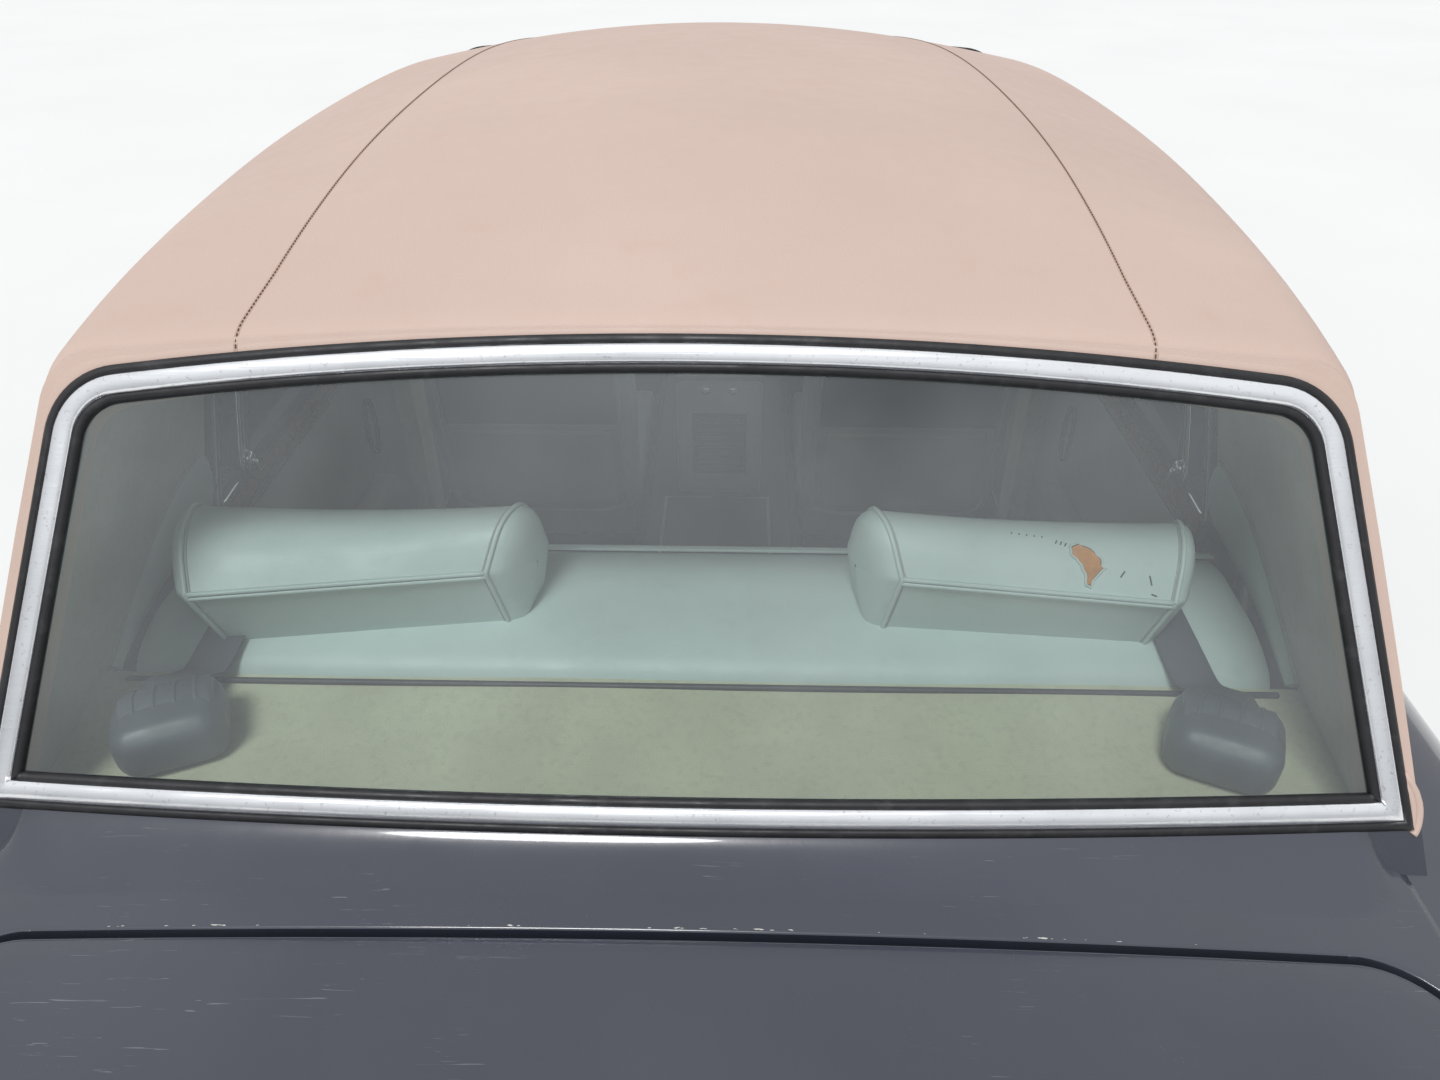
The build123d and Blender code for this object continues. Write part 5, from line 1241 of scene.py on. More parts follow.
# a bright drip rail over the doors, chipped paint along the shut line, and a rust spot
for side, sign in SIDES:
    rail = [(sign * cabin_side(y, ROOF_EDGE_Z - 1, 2.0), y, ROOF_EDGE_Z - 1)
            for y in np.linspace(-250, 966, 70)]
    sweep(f"drip_rail_{side}", rail, (sign * 0.9, 0, 0.43), bar_section(6, -2, 4), CHROME, slot="chrome")
CHIPPED = plain("paint_chipped", (0.55, 0.54, 0.50), 0.8)
RUST = plain("rust_spot", (0.42, 0.13, 0.02), 0.9)
points, faces = [], []
for n in range(40):
    x = rng.uniform(-600, 600) if n % 3 == 0 else rng.normal((429, -53, -333, -20)[n % 4], 26)
    size = rng.uniform(0.7, 2.4) if n % 5 == 0 else rng.uniform(0.4, 1.2)
    y = OPENING_Y - EDGE - 0.3 - rng.uniform(0, 0.9)
    turns = np.sort(rng.uniform(0, 2 * pi, 6))
    base = len(points)
    for q in turns:
        px, py = x + size * 2.1 * cos(q), y + size * 0.42 * sin(q)
        points.append((px, py, body_top(min(py, OPENING_Y - EDGE), px, 1.0) + 0.12))
    faces.append(tuple(range(base, base + 6)))
piece("paint_chips", points, faces, CHIPPED)
spot = [(-516 + 2.4 * cos(q), 1593 + 2.4 * sin(q), body_top(1593, -516, 1.0) + 3.6) for q in around(12)]
piece("rust_spot", spot, [tuple(range(12))], RUST)

# the lining of the roof and the rear quarters
LINING = -(ROOF_THICKNESS + 2.0)
roof_lining = []
for y in np.linspace(-215, 1262, 60):
    half = [roof_fraction_point(y, f, LINING, ROOF_EDGE_Z - 8) for f in np.linspace(0, 1, 34)]
    half = [np.array((x, y, z)) for x, z in half]
    roof_lining.append([q * (-1, 1, 1) for q in half[:0:-1]] + half)
joined_grids("roof_lining", [roof_lining], LINING_CLOTH)


def quarter_point(y, z, into=0.0):
    return np.array((cabin_side(y, z, LINING - into), y, z))


def quarter_end_y(z):
    low, high = 1000.0, 1600.0
    for _ in range(30):
        y = (low + high) / 2
        if y < screen_y(cabin_side(y, z, LINING), z) - 14:
            low = y
        else:
            high = y
    return low


def trim_seam_z(t):
    """The height of the trim's curved seam; t runs along it from the door to the shelf."""
    return 1085 - 100 * t ** 1.5 + 22 * sin(pi * t)


quarter = []
for z in np.linspace(SHELF_Z - 4, ROOF_EDGE_Z - 6, 34):
    quarter.append([quarter_point(y, z) for y in np.linspace(pillar_front_y(z) - 8, quarter_end_y(z), 44)])
for side, sign in SIDES:
    joined_grids(f"quarter_lining_{side}", [mirrored(quarter, sign)], LINING_CLOTH)
    # the trim's curved seam, from the quarter window down to the shelf, and a bolster ahead of it
    seam = [quarter_point(985 + 330 * t, trim_seam_z(t), 1.0) for t in np.linspace(0, 1, 30)]
    # the seam is drawn in the darker copy of the leather: painted shade along it
    tube(f"quarter_seam_{side}", mirrored(seam, sign), 3.4, LEATHER_SHADED, sides=8)
    bolster = []
    for t in np.linspace(0, 1, 20):
        rise = trim_seam_z(t) - SHELF_Z
        bolster.append([quarter_point(985 + 330 * t, SHELF_Z + rise * u, 14 * sin(pi * u) ** 0.6 + 1)
                        for u in np.linspace(0, 1, 14)])
    joined_grids(f"quarter_bolster_{side}", [mirrored(bolster, sign)], LEATHER)

# parcel shelf cloth
shelf = []
for y in np.linspace(1318, 1566, 40):
    half = min(cabin_side(y, SHELF_Z + 2, LINING), 720)
    shelf.append([(x, y, SHELF_Z + 1.5 + 1.2 * sin(x / 90.0) * sin(y / 50.0))
                  for x in np.linspace(-half, half, 70)])
grid("shelf_cloth", shelf, SHELF_CLOTH, slot="carpet")

# rear seat: back, crest pad with its double piping, cushion with pleats
def seat_section(points, steps=6):
    """Rounds a section's corners, from (y, z, radius) rows."""
    out = []
    for i, (y, z, r) in enumerate(points):
        here = np.array((y, z), float)
        before = np.array(points[i - 1][:2], float) - here
        after = np.array(points[(i + 1) % len(points)][:2], float) - here
        reach = min(r, np.linalg.norm(before) * 0.49, np.linalg.norm(after) * 0.49)
        a, b = here + before / np.linalg.norm(before) * reach, here + after / np.linalg.norm(after) * reach
        out += [bezier(a, here, b, t) for t in np.linspace(0, 1, steps)]
    return np.array(out)


def upholstery(name, points, half, mat, centre=0.0, bulge=5.0, pleats=0, depth=0.0, columns=61):
    """A cushion with a rounded section and softly domed ends; pleats run up and down its face."""
    section = seat_section(points)
    middle = section.mean(0)
    end = 14.0 / half
    rows = []
    for u in np.linspace(-1, 1, columns):
        fall = 1 - max(0.0, (abs(u) - (1 - end)) / end) ** 2 * 0.16
        ring = []
        for y, z in section:
            away = hypot(y - middle[0], z - middle[1])
            push = bulge * (1 - u ** 2) / away
            groove = -depth * (0.5 + 0.5 * cos(u * pi * pleats)) ** 6 / away if pleats else 0
            q = middle + (np.array((y, z)) - middle) * (fall + push + groove)
            ring.append((centre + u * half, q[0], q[1]))
        rows.append(ring)
    for u in (-1, 1):
        ring = np.array(rows[0 if u < 0 else -1])
        inner = [ring.mean(0) + (ring - ring.mean(0)) * s + (u * (1 - s) * 10, 0, 0)
                 for s in (0.86, 0.5, 0.05)]
        if u < 0:
            rows = inner[::-1] + rows
        else:
            rows += inner
    made = grid(name, rows, mat, wrap=True, slot="leather")
    return made


BACK = [(1010, 500, 30), (1092, 1002, 18), (1140, 1018, 40), (1262, 1012, 60), (1322, 986, 26),
        (1322, 520, 20)]
CUSHION = [(596, 420, 30), (580, 448, 25), (594, 530, 40), (1020, 492, 50), (1090, 480, 20),
           (1090, 420, 20)]
back = upholstery("rear_seat_back", BACK, 676, LEATHER, bulge=2, columns=91)
cushion = upholstery("rear_seat_cushion", CUSHION, 676, LEATHER, bulge=4, pleats=18, depth=5, columns=145)
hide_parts("rear_seat")
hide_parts("rear_seat")
for shift, z in ((0, 1013.0), (11, 1017.5)):
    crest = [(x, 1101 + shift, z + 1.5 * cos(x / 676 * pi / 2)) for x in np.linspace(-664, 664, 80)]
    tube(f"seat_crest_piping_{shift}", crest, 2.6, LEATHER, sides=8, slot="leather")
# a dark tube along the seat back's rear edge: painted shade where the pad meets the shelf
edge = [(x, 1331.0, SHELF_Z + 3) for x in np.linspace(-664, 664, 60)]
tube("seat_rear_edge_shade", edge, 4.0, DARK_TRIM, sides=6)
# pleat lines drawn as thin tubes of the darker leather: painted shade in the pleats
for x in np.arange(-600, 601, 75):
    line = [(x, 1012 + 80 * t, 548 + 440 * t) for t in np.linspace(0, 1, 20)]
    tube(f"seat_back_pleat_{int(x)}", line, 1.6, LEATHER_SHADED, sides=6)

# rear headrests: a wedge with a rounded top, piped round its ends and along its rear edge, one of them torn
HEADREST = [(1172, 998, 10), (1167, 1074, 50), (1192, 1146, 48), (1262, 1147, 32), (1304, 1099, 5),
            (1270, 998, 8)]
section = seat_section(HEADREST, 12)
HEAD_MIDDLE = np.array((1222.0, 1088.0))


def headrest_half(y, z):
    """Half its width: its ends slant, so that it is narrower along its rear edge."""
    share = unit((1304 - y) / 130)
    rise = unit((z - 998) / 80)
    return 160 + 16 * share * (1 - rise) + 38 * share ** 0.8 * rise


def headrest_point(u, k, centre, mirror, out=0.0):
    """A point on a headrest: u across it from -1, outboard, to 1, inboard, k round its section."""
    k = k % len(section)
    y, z = section[int(k)] + (section[(int(k) + 1) % len(section)] - section[int(k)]) * (k - int(k))
    sag = 9.0 * (1 - u ** 2) * unit((z - 1104) / 55)
    away = np.array((y, z)) - HEAD_MIDDLE
    away = away / np.linalg.norm(away)
    low = max(0.0, (1100 - z) / 96)
    left = mirror > 0
    half = headrest_half(y, z) * (1.0 if left else 0.93)
    back = unit((y - 1180) / 124)
    y -= back * (4 + 24 * u if left else 14 + 12 * u)
    z -= 0.0 if left else 5.5 * (1 - u) * unit((z - 1004) / 100)
    y, z = y + away[0] * out, z - sag + away[1] * out
    return np.array((centre - mirror * (u * half + 9 * low), y, z))


HEAD_RIGHT = -380
FOAM = plain("foam_orange", (0.60, 0.24, 0.045), 0.95, vary=0.4, scale=60, grain=700, bump=0.0015)
# painted shade: a dark colour for the crease between the rear pipings, inside the tear's edge and in the
# stitch holes and nicks
GAP_SHADE = plain("seam_shadow", (0.06, 0.075, 0.075), 0.9)
for side, sign, centre in (("left", 1, 402), ("right", -1, HEAD_RIGHT)):
    count = len(section)
    rows = [[headrest_point(u, k, centre, sign) for k in range(count)] for u in np.linspace(-1, 1, 49)]
    caps = {}
    for u in (-1, 1):
        ring = np.array([headrest_point(u, k, centre, sign) for k in range(count)])
        middle = ring.mean(0)
        caps[u] = [middle + (ring - middle) * s + (-sign * u * b, 0, 0) for s, b in
                   ((0.985, 5), (0.95, 10.5), (0.88, 15.5), (0.76, 20), (0.6, 23), (0.4, 25), (0.2, 26),
                    (0.03, 26.3))]
    rows = caps[-1][::-1] + rows + caps[1]
    made = grid(f"rear_headrest_{side}", rows, LEATHER, wrap=True, flip=sign < 0, slot="leather")
    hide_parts("rear_headrests")
    for u, label in ((-1, "outer"), (1, "inner")):
        ring = [headrest_point(u, k, centre, sign, 1.2) for k in range(count)]
        tube(f"headrest_{side}_{label}_piping", ring, 3.0, LEATHER, closed=True, sides=8, slot="leather")
        ring = [headrest_point(u * 0.972, k, centre, sign, 0.2) for k in range(count)]
        tube(f"headrest_{side}_{label}_stitch", ring, 1.1, LEATHER_SHADED, closed=True, sides=6)
    corner = int(np.argmax(section[:, 0]))
    # the rear edge: two pipings with a thin dark tube between them, painted shade in the crease
    for step, radius, mat, label in ((-3, 2.9, LEATHER, "upper"), (0, 1.6, GAP_SHADE, "gap"),
                                     (4, 2.9, LEATHER, "lower")):
        line = [headrest_point(u, corner + step, centre, sign, 1.4 if label != "gap" else 0.9)
                for u in np.linspace(-1, 1, 40)]
        tube(f"headrest_{side}_rear_{label}", line, radius, mat, sides=8)
# the tear in the right one, its foam and its curled edge, with stitch holes beside it; the holes, the nicks
# and the tear's inner rim are thin tubes of painted shade
top_from, top_to = int(np.argmax(section[:, 1])), int(np.argmax(section[:, 0]))


def torn(u, v, out):
    """A point on the right headrest's top panel; v runs from its front to its rear edge."""
    steps = np.linalg.norm(np.diff(section[top_from:top_to + 1], axis=0), axis=1)
    run = np.concatenate(([0], np.cumsum(steps)))
    k = np.interp(v * run[-1], run, np.arange(top_from, top_to + 1))
    return headrest_point(u, k, HEAD_RIGHT, -1, out)


EDGE_OF_TEAR = [(-0.30, 0.30), (-0.36, 0.24), (-0.44, 0.33), (-0.50, 0.46), (-0.53, 0.60), (-0.47, 0.72),
                (-0.44, 0.86), (-0.41, 0.84), (-0.40, 0.68), (-0.35, 0.52), (-0.30, 0.42)]
middle = np.array((-0.35, 0.52))
rim = []
for i, q in enumerate(EDGE_OF_TEAR):
    for t in (0, 1 / 3, 2 / 3):
        a, b = np.array(q), np.array(EDGE_OF_TEAR[(i + 1) % len(EDGE_OF_TEAR)])
        rim.append(a + (b - a) * t + rng.normal(0, 0.004, 2) + (0.06, 0))
rings = [[torn(*(middle + (q - middle) * s), 0.8 + 3.0 * (1 - s) * (0.6 + 0.4 * rng.random())) for q in rim]
         for s in (0.02, 0.3, 0.6, 0.85, 1.0)]
grid("headrest_foam", rings, FOAM, wrap=True)
tube("headrest_tear_edge", [torn(*q, 1.0) for q in rim], 1.5, LEATHER, closed=True, sides=6)
shadow = [torn(*(middle + (q - middle) * 0.95), 1.2) for q in rim]
tube("headrest_tear_shadow", shadow, 0.8, GAP_SHADE, closed=True, sides=5)
NICKS = [(0.14 - 0.05 * k, 0.12 + 0.01 * k, 0.004, 0.0) for k in range(5)]
NICKS += [(-0.15 - 0.03 * k, 0.24 + 0.02 * k, 0.006, 0.025) for k in range(4)]
NICKS += [(-0.60, 0.66, 0.012, 0.04), (-0.80, 0.72, -0.012, 0.06), (-0.84, 0.90, -0.02, 0.01),
          (-0.70, 0.96, 0.03, 0.0)]
for n, (u, v, du, dv) in enumerate(NICKS):
    line = [torn(u + du * t, v + dv * t, 0.7) for t in np.linspace(-1, 1, 6)]
    tube(f"headrest_nick_{n}", line, 0.9, GAP_SHADE, sides=5)

# belt reels on the shelf and their webbing, over the seat's back
WEBBING = Shade("webbing", (0.085, 0.10, 0.12), 0.75)
WEBBING = WEBBING.bump(WEBBING.wave(900, "Y"), 0.0004, 0.6).mat
for side, sign in SIDES:
    low, high = sorted((sign * 500, sign * 606))
    turn = rotation("Z", 24 * sign)
    soft_box(f"belt_reel_{side}", (low, 1392, SHELF_Z + 2), (high, 1478, SHELF_Z + 66), 20, REEL_PLASTIC,
             turn=turn, crown=3)
    axis = turn @ np.array((1, 0, 0))
    centre = np.array((sign * 556, 1432, SHELF_Z + 34)) + (0, -8, 3)
    revolve(f"belt_reel_drum_{side}", [(-46, 0), (-46, 30), (-42, 35), (42, 35), (46, 30), (46, 0)], centre,
            axis, REEL_PLASTIC, count=40)
    for k in range(4):
        ring = centre + turn @ np.array((-30 + k * 20, 0, 0))
        revolve(f"belt_reel_rib_{side}_{k}", [(-2, 34), (-2, 36.2), (2, 36.2), (2, 34)], ring, axis,
                REEL_PLASTIC, count=40)
    path = [(562, 1418, 1046), (566, 1392, 1040), (570, 1362, 1016), (568, 1332, 996), (560, 1290, 1012),
            (556, 1230, 1022), (552, 1160, 1026), (549, 1110, 1025), (546, 1088, 1012), (540, 1078, 980),
            (536, 1062, 900), (530, 1040, 760)]
    path = np.array([(sign * x, y, z) for x, y, z in path])
    places = np.linspace(0, len(path) - 1, 90)
    fine = np.array([[np.interp(t, range(len(path)), path[:, k]) for k in range(3)] for t in places])
    for _ in range(6):
        fine[1:-1] = (fine[:-2] + 2 * fine[1:-1] + fine[2:]) / 4
    tangent = np.gradient(fine, axis=0)
    normals = np.cross(tangent, (1, 0, 0))
    normals *= np.sign(normals[:, 2:3] + 1e-9)
    normals = units(normals)
    webbing = [(-25, 0), (-24, 0.9), (24, 0.9), (25, 0), (24, -0.9), (-24, -0.9)]
    sweep(f"belt_webbing_{side}", fine, normals, webbing, WEBBING)
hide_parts("belt_reels")
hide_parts("belt_reels")

# front seats: back, cushion with pleats, base, a dark upper panel behind, pocket and frame
FRONT_BACK = [(75, 500, 30), (140, 940, 40), (170, 978, 30), (214, 978, 20), (252, 935, 22), (185, 500, 20),
              (150, 450, 30)]
FRONT_CUSHION = [(-380, 345, 20), (-424, 400, 20), (-426, 495, 40), (60, 472, 40), (120, 440, 20),
                 (110, 345, 20)]
# the front seats are in the darker copy of the pale leather: painted shade
for side, sign in SIDES:
    cx = sign * 415
    made = upholstery(f"front_seat_back_{side}", FRONT_BACK, 222, LEATHER_SHADED, centre=cx, bulge=5,
                      columns=49)
    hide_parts("front_seats")
    made = upholstery(f"front_seat_cushion_{side}", FRONT_CUSHION, 222, LEATHER_SHADED, centre=cx, bulge=4,
                      pleats=6, depth=5, columns=61)
    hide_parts("front_seats")
    soft_box(f"front_seat_base_{side}", (cx - 200, -360, 240), (cx + 200, 100, 350), 14, DARK_TRIM)

    def rear_of_seat(x, z, out):
        return (cx + x, 186 + (z - 500) * 67 / 435 + out, z)

    panel = [[rear_of_seat(x, z, 3.0 + 5 * (1 - (x / 190) ** 2) * (1 - ((z - 822) / 105) ** 2))
              for x in np.linspace(-188, 188, 24)] for z in np.linspace(722, 926, 16)]
    grid(f"front_seat_dark_panel_{side}", panel, DARK_TRIM, roll=4, depth=6, flip=True)
    pocket = [[rear_of_seat(x, z, 6.0 + 7 * (1 - (x / 172) ** 2) * (1 - ((z - 600) / 110) ** 2))
               for x in np.linspace(-172, 172, 24)] for z in np.linspace(500, 700, 16)]
    grid(f"front_seat_pocket_{side}", pocket, LEATHER_SHADED, roll=4, depth=8, flip=True)
    tube(f"front_seat_pocket_top_{side}", [rear_of_seat(x, 702, 12) for x in np.linspace(-174, 174, 20)], 5,
         LEATHER_SHADED)
    edge = [(-200, 930)] + [(-200, z) for z in np.linspace(900, 520, 12)] + [(-190, 490), (-160, 476)]
    edge += [(x, 472) for x in np.linspace(-130, 130, 8)] + [(160, 476), (190, 490)]
    edge += [(200, z) for z in np.linspace(520, 900, 12)] + [(200, 930)]
    tube(f"front_seat_frame_{side}", [rear_of_seat(x, z, 6) for x, z in edge], 5, LEATHER_SHADED)

# console: its rear face with vents, lights and a lidded box
soft_box("console_rear", (-97, 128, 508), (97, 153, 800), 10, LEATHER_SHADED, slot="dark_plastic")
for k in range(7):
    z = 566 + 21 * k
    soft_box(f"console_vent_{k}", (-52, 152, z), (52, 160, z + 11), 3, DARK_TRIM)
soft_box("console_vent_frame", (-62, 150, 556), (62, 155.5, 716), 4, PLASTIC)
for side, sign in reversed(SIDES):
    revolve(f"console_light_{side}", [(0, 11), (4, 10), (6, 6), (6.5, 0)], (sign * 30, 153, 772), (0, 1, 0),
            CHROME)
soft_box("console_top", (-99, 35, 786), (99, 152, 804), 8, DARK_TRIM)
soft_box("console_box", (-99, -600, 630), (99, 44, 662), 10, WOOD, slot="dark_plastic")
revolve("gear_knob", [(0, 0), (0, 6), (60, 6), (66, 16), (80, 21), (96, 17), (102, 6), (103, 0)],
        (0, -250, 660), (0, 0.25, 1), DARK_TRIM)
for k, x in enumerate((-50, 0, 50)):
    soft_box(f"console_button_{k}", (x - 16, -360, 660), (x + 16, -335, 668), 4, PLASTIC)
# a box behind the console
soft_box("footwell_box", (-120, 170, 240), (130, 420, 500), 14, DARK_TRIM)
rim = [(-115, 175, 500), (125, 175, 500), (125, 415, 500), (-115, 415, 500)]
tube("footwell_box_rim", rim, 5, LEATHER_SHADED, closed=True)

# dashboard: padded top, wood face, dials, vents, glove box
soft_box("dash_top", (-652, -642, 946), (652, -486, 984), 18, DARK_TRIM, slot="dark_plastic")
face = [[(x, -478 + (935 - z) * 25 / 155, z) for x in np.linspace(-640, 640, 60)]
        for z in np.linspace(800, 934, 10)]
grid("dash_wood", face, WOOD, roll=3, depth=4, flip=True, slot="dark_plastic")
for k, (x, r) in enumerate(((-440, 46), (-300, 46), (-150, 26), (-85, 26), (-20, 26), (45, 26))):
    place = np.array((x, -474 + (935 - 868) * 25 / 155 + 3, 868))
    revolve(f"dial_bezel_{k}", [(0, r), (6, r + 2), (8, r - 1), (5, r - 4)], place, (0, 1, 0.16), CHROME,
            count=48)
    revolve(f"dial_face_{k}", [(3, r - 3), (3.2, r / 2), (3.4, 0)], place, (0, 1, 0.16), PLASTIC, count=48)
    needle = [place + (0, 4.5, 0), place + (0.6 * r * cos(2.2 + k), 4.5, 0.6 * r * sin(2.2 + k))]
    tube(f"dial_needle_{k}", needle, 0.9, LEATHER, sides=5)
for k, x in enumerate((-590, -215, 130, 560)):
    soft_box(f"dash_vent_{k}", (x - 38, -481, 845), (x + 38, -466, 890), 5, PLASTIC)
    for j in range(4):
        soft_box(f"dash_vent_{k}_{j}", (x - 33, -468, 850 + j * 10), (x + 33, -462, 854 + j * 10), 1.5,
                 CHROME)
line = [(220, -464, 915), (520, -464, 915), (520, -448, 812), (220, -448, 812)]
tube("glovebox_line", line, 1.2, PLASTIC, closed=True)

# steering wheel
AXIS = np.array((0, cos(radians(25)), sin(radians(25))))
WHEEL_AT = np.array((-370.0, -330.0, 840.0))
SIDEWAYS, UPWARDS = np.array((1.0, 0, 0)), np.cross(np.array((1.0, 0, 0)), AXIS)
rim = [WHEEL_AT + (SIDEWAYS * cos(q) + UPWARDS * sin(q)) * 200 for q in around(72)]
made = sweep("steering_rim", rim, AXIS, round_section(13, 14), DARK_TRIM, "steering_wheel", closed=True)
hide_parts("steering_wheel")
HUB = [(-44, 0), (-44, 32), (-20, 34), (-20, 60), (-6, 68), (6, 62), (11, 40), (12, 0)]
revolve("steering_hub", HUB, WHEEL_AT, AXIS, DARK_TRIM, "steering_wheel", count=60)
revolve("steering_hub_ring", [(11, 34), (14, 32), (13, 26), (11, 24)], WHEEL_AT, AXIS, CHROME,
        "steering_wheel", count=60)
for side, sign in reversed(SIDES):
    line = [WHEEL_AT + SIDEWAYS * sign * r + UPWARDS * (-6 - 14 * sin(pi * (r - 55) / 140)) - AXIS * 4
            for r in np.linspace(50, 196, 14)]
    sweep(f"steering_spoke_{side}", line, AXIS, round_section(15, 12, 0.4), DARK_TRIM, "steering_wheel")
tube("column_stalk", [(-370, -420, 805), (-290, -400, 815), (-225, -385, 818)], 5, DARK_TRIM)


# door inner sides: leather card, wood capping, armrest, handles
def trim_x(y):
    """The doors' inner faces: 745 between the doors, 757 at the windscreen's foot, 738 at the rear end."""
    ahead = max(0, (REAR_DOOR_Y - y) / (REAR_DOOR_Y + 932.0))
    behind = max(0, (y - REAR_DOOR_Y) / (1345.0 - REAR_DOOR_Y))
    return 745 + 12 * ahead ** 1.3 - 7 * behind


def door_inside(prefix, y0, y1, body, sign):
    """A door's card, wood capping, armrest, grab handle, lever and pocket between y0 and y1."""

    def at(y, z, into):
        return np.array((sign * (trim_x(y) - into), y, z))

    card = [[at(y, z, 1.5 + 4 * (1 - ((z - 640) / 330) ** 2)) for z in np.linspace(322, 905, 26)]
            for y in np.linspace(y0, y1, 40)]
    grid(f"{prefix}_card", card, LEATHER_SHADED, body, roll=4, depth=3, flip=sign > 0, slot="leather")
    cap = [[at(y, z, 3.0 + 7 * sin(pi * (z - 905) / 42)) for z in np.linspace(907, 945, 8)]
           for y in np.linspace(y0, y1, 30)]
    grid(f"{prefix}_capping", cap, WOOD, body, roll=2, depth=3, flip=sign > 0)
    middle = (y0 + y1) / 2
    low, high = at(middle - 190, 610, 58), at(middle + 200, 668, 2)
    soft_box(f"{prefix}_armrest", np.minimum(low, high), np.maximum(low, high), 20, LEATHER_SHADED, body,
             crown=3)
    oval = [at(middle - 215 + 26 * cos(q), 760 + 62 * sin(q), 9) for q in around(40)]
    tube(f"{prefix}_grab", oval, 5, DARK_TRIM, body, closed=True)
    plate = [at(middle + 245 + 22 * cos(q), 772 + 40 * sin(q), 7) for q in around(32)]
    tube(f"{prefix}_handle_rim", plate, 4, CHROME, body, closed=True)
    lever = [at(middle + 245, 745 + 55 * t, 10) for t in np.linspace(0, 1, 8)]
    tube(f"{prefix}_lever", lever, 5.5, CHROME, body)
    pocket = [at(y, 470, 9) for y in np.linspace(middle - 250, middle + 250, 20)]
    tube(f"{prefix}_pocket_edge", pocket, 5, LEATHER_SHADED, body)


for side, sign in SIDES:
    door_inside(f"front_door_inside_{side}", -850, 60, f"front_door_{side}", sign)
    door_inside(f"rear_door_inside_{side}", 128, 925, f"rear_door_{side}", sign)

# floor carpets
rows = [[(x, y, 240.5 + 1.5 * sin(x / 37) * sin(y / 41)) for x in np.linspace(182, 735, 30)]
        for y in np.linspace(-880, 765, 60)]
grid("carpet_left", rows, CARPET, slot="carpet")
grid("carpet_right", mirrored(rows, -1), CARPET, flip=True, slot="carpet")
TUNNEL = ((-183, 245), (-184, 380), (-182, 480), (-160, 503), (0, 505), (160, 503), (182, 480), (184, 380),
          (183, 245))
rows = [[(x, y, z) for x, z in TUNNEL] for y in np.linspace(-880, 765, 40)]
grid("carpet_tunnel", rows, CARPET, slot="carpet")
rows = [[(x, y, 354 + 1.2 * sin(x / 33) * sin(y / 31)) for x in np.linspace(-560, 560, 60)]
        for y in np.linspace(1665, 2440, 40)]
grid("boot_carpet", rows, CARPET, slot="carpet")

# bright window frames, with a divider and its catch ahead of each quarter window
def window_ring(points):
    """A window's outline with rounded corners, in even steps."""
    rounded = seat_section([(y, z, 18) for y, z in points], 6)
    out = []
    for a, b in zip(rounded, np.roll(rounded, -1, axis=0)):
        count = max(1, int(np.linalg.norm(b - a) / 16.0))
        out += [a + (b - a) * k / count for k in range(count)]
    return np.array(out)


def widened(ring, grow):
    """A ring of (y, z) points moved out from its middle by grow."""
    moved = []
    for q, nxt, prv in zip(ring, np.roll(ring, -1, axis=0), np.roll(ring, 1, axis=0)):
        way = nxt - prv
        way = way / np.linalg.norm(way)
        out = np.array((way[1], -way[0]))
        if np.dot(out, q - ring.mean(0)) < 0:
            out = -out
        moved.append(q + out * grow)
    return moved


# each pane's corners as (y, z), and the door that carries it
PANES = (("front", "front", [(-640, 950), (55.5, 950), (41, 1318), (-256.3, 1318)]),
         ("rear", "rear", [(129.5, 950), (800, 950), (800, 1318), (115, 1318)]),
         ("quarter", "rear", [(824, 950), (928.6, 950), (914.4, 1318), (824, 1318)]))
# a frame's parts: name, place out from the pane's edge, section, material
FRAME_PARTS = (("bright", 1.5, [(-9, -1), (-9, 1.5), (-5, 3.6), (5, 3.6), (9, 1.5), (9, -1)], CHROME),
               ("seal", -9.5, [(-4, -8), (-4, 0), (4, 0), (4, -8)], RUBBER))
for side, sign in SIDES:
    away = np.array((sign * 0.97, 0, 0.24))
    for label, door, corners in PANES:
        body = f"{door}_door_{side}"
        ring = window_ring(corners)
        for part, grow, section_points, mat in FRAME_PARTS:
            outline = widened(ring, grow)
            path = [(sign * cabin_side(y, z, 0.5), y, z) for y, z in outline]
            sweep(f"{label}_window_{part}_{side}", path, away, section_points, mat, body, closed=True,
                  slot="chrome" if part == "bright" else None)
            if part == "bright":
                inner = [(sign * cabin_side(y, z, -35.5), y, z) for y, z in outline]
                sweep(f"{label}_window_inner_{side}", inner, -away, section_points, CHROME, body,
                      closed=True)
    body = f"rear_door_{side}"
    outer, inner = bar_section(12, 0, 3), bar_section(12, 0, 4, 3)
    for part, grow, way, section_points, slot in (("divider", 1.0, sign, outer, "chrome"),
                                                  ("divider_inner", -36, -sign, inner, None)):
        post = [(sign * cabin_side(DIVIDER_Y, z, grow), DIVIDER_Y, z) for z in np.linspace(945, 1325, 20)]
        sweep(f"window_{part}_{side}", post, (way * 0.97, 0, 0.24), section_points, CHROME, body, slot=slot)
    catch = np.array((sign * cabin_side(818, 978, -42), 818, 978))
    lever = [catch + (-sign * 6, 0, 0), catch + (-sign * 10, -12, -26)]
    revolve(f"quarter_catch_{side}", [(-6, 0), (-6, 12), (4, 12), (8, 8), (8, 0)], catch, (-sign, 0, 0),
            CHROME, body, count=24)
    tube(f"quarter_catch_lever_{side}", lever, 4.5, CHROME, body)

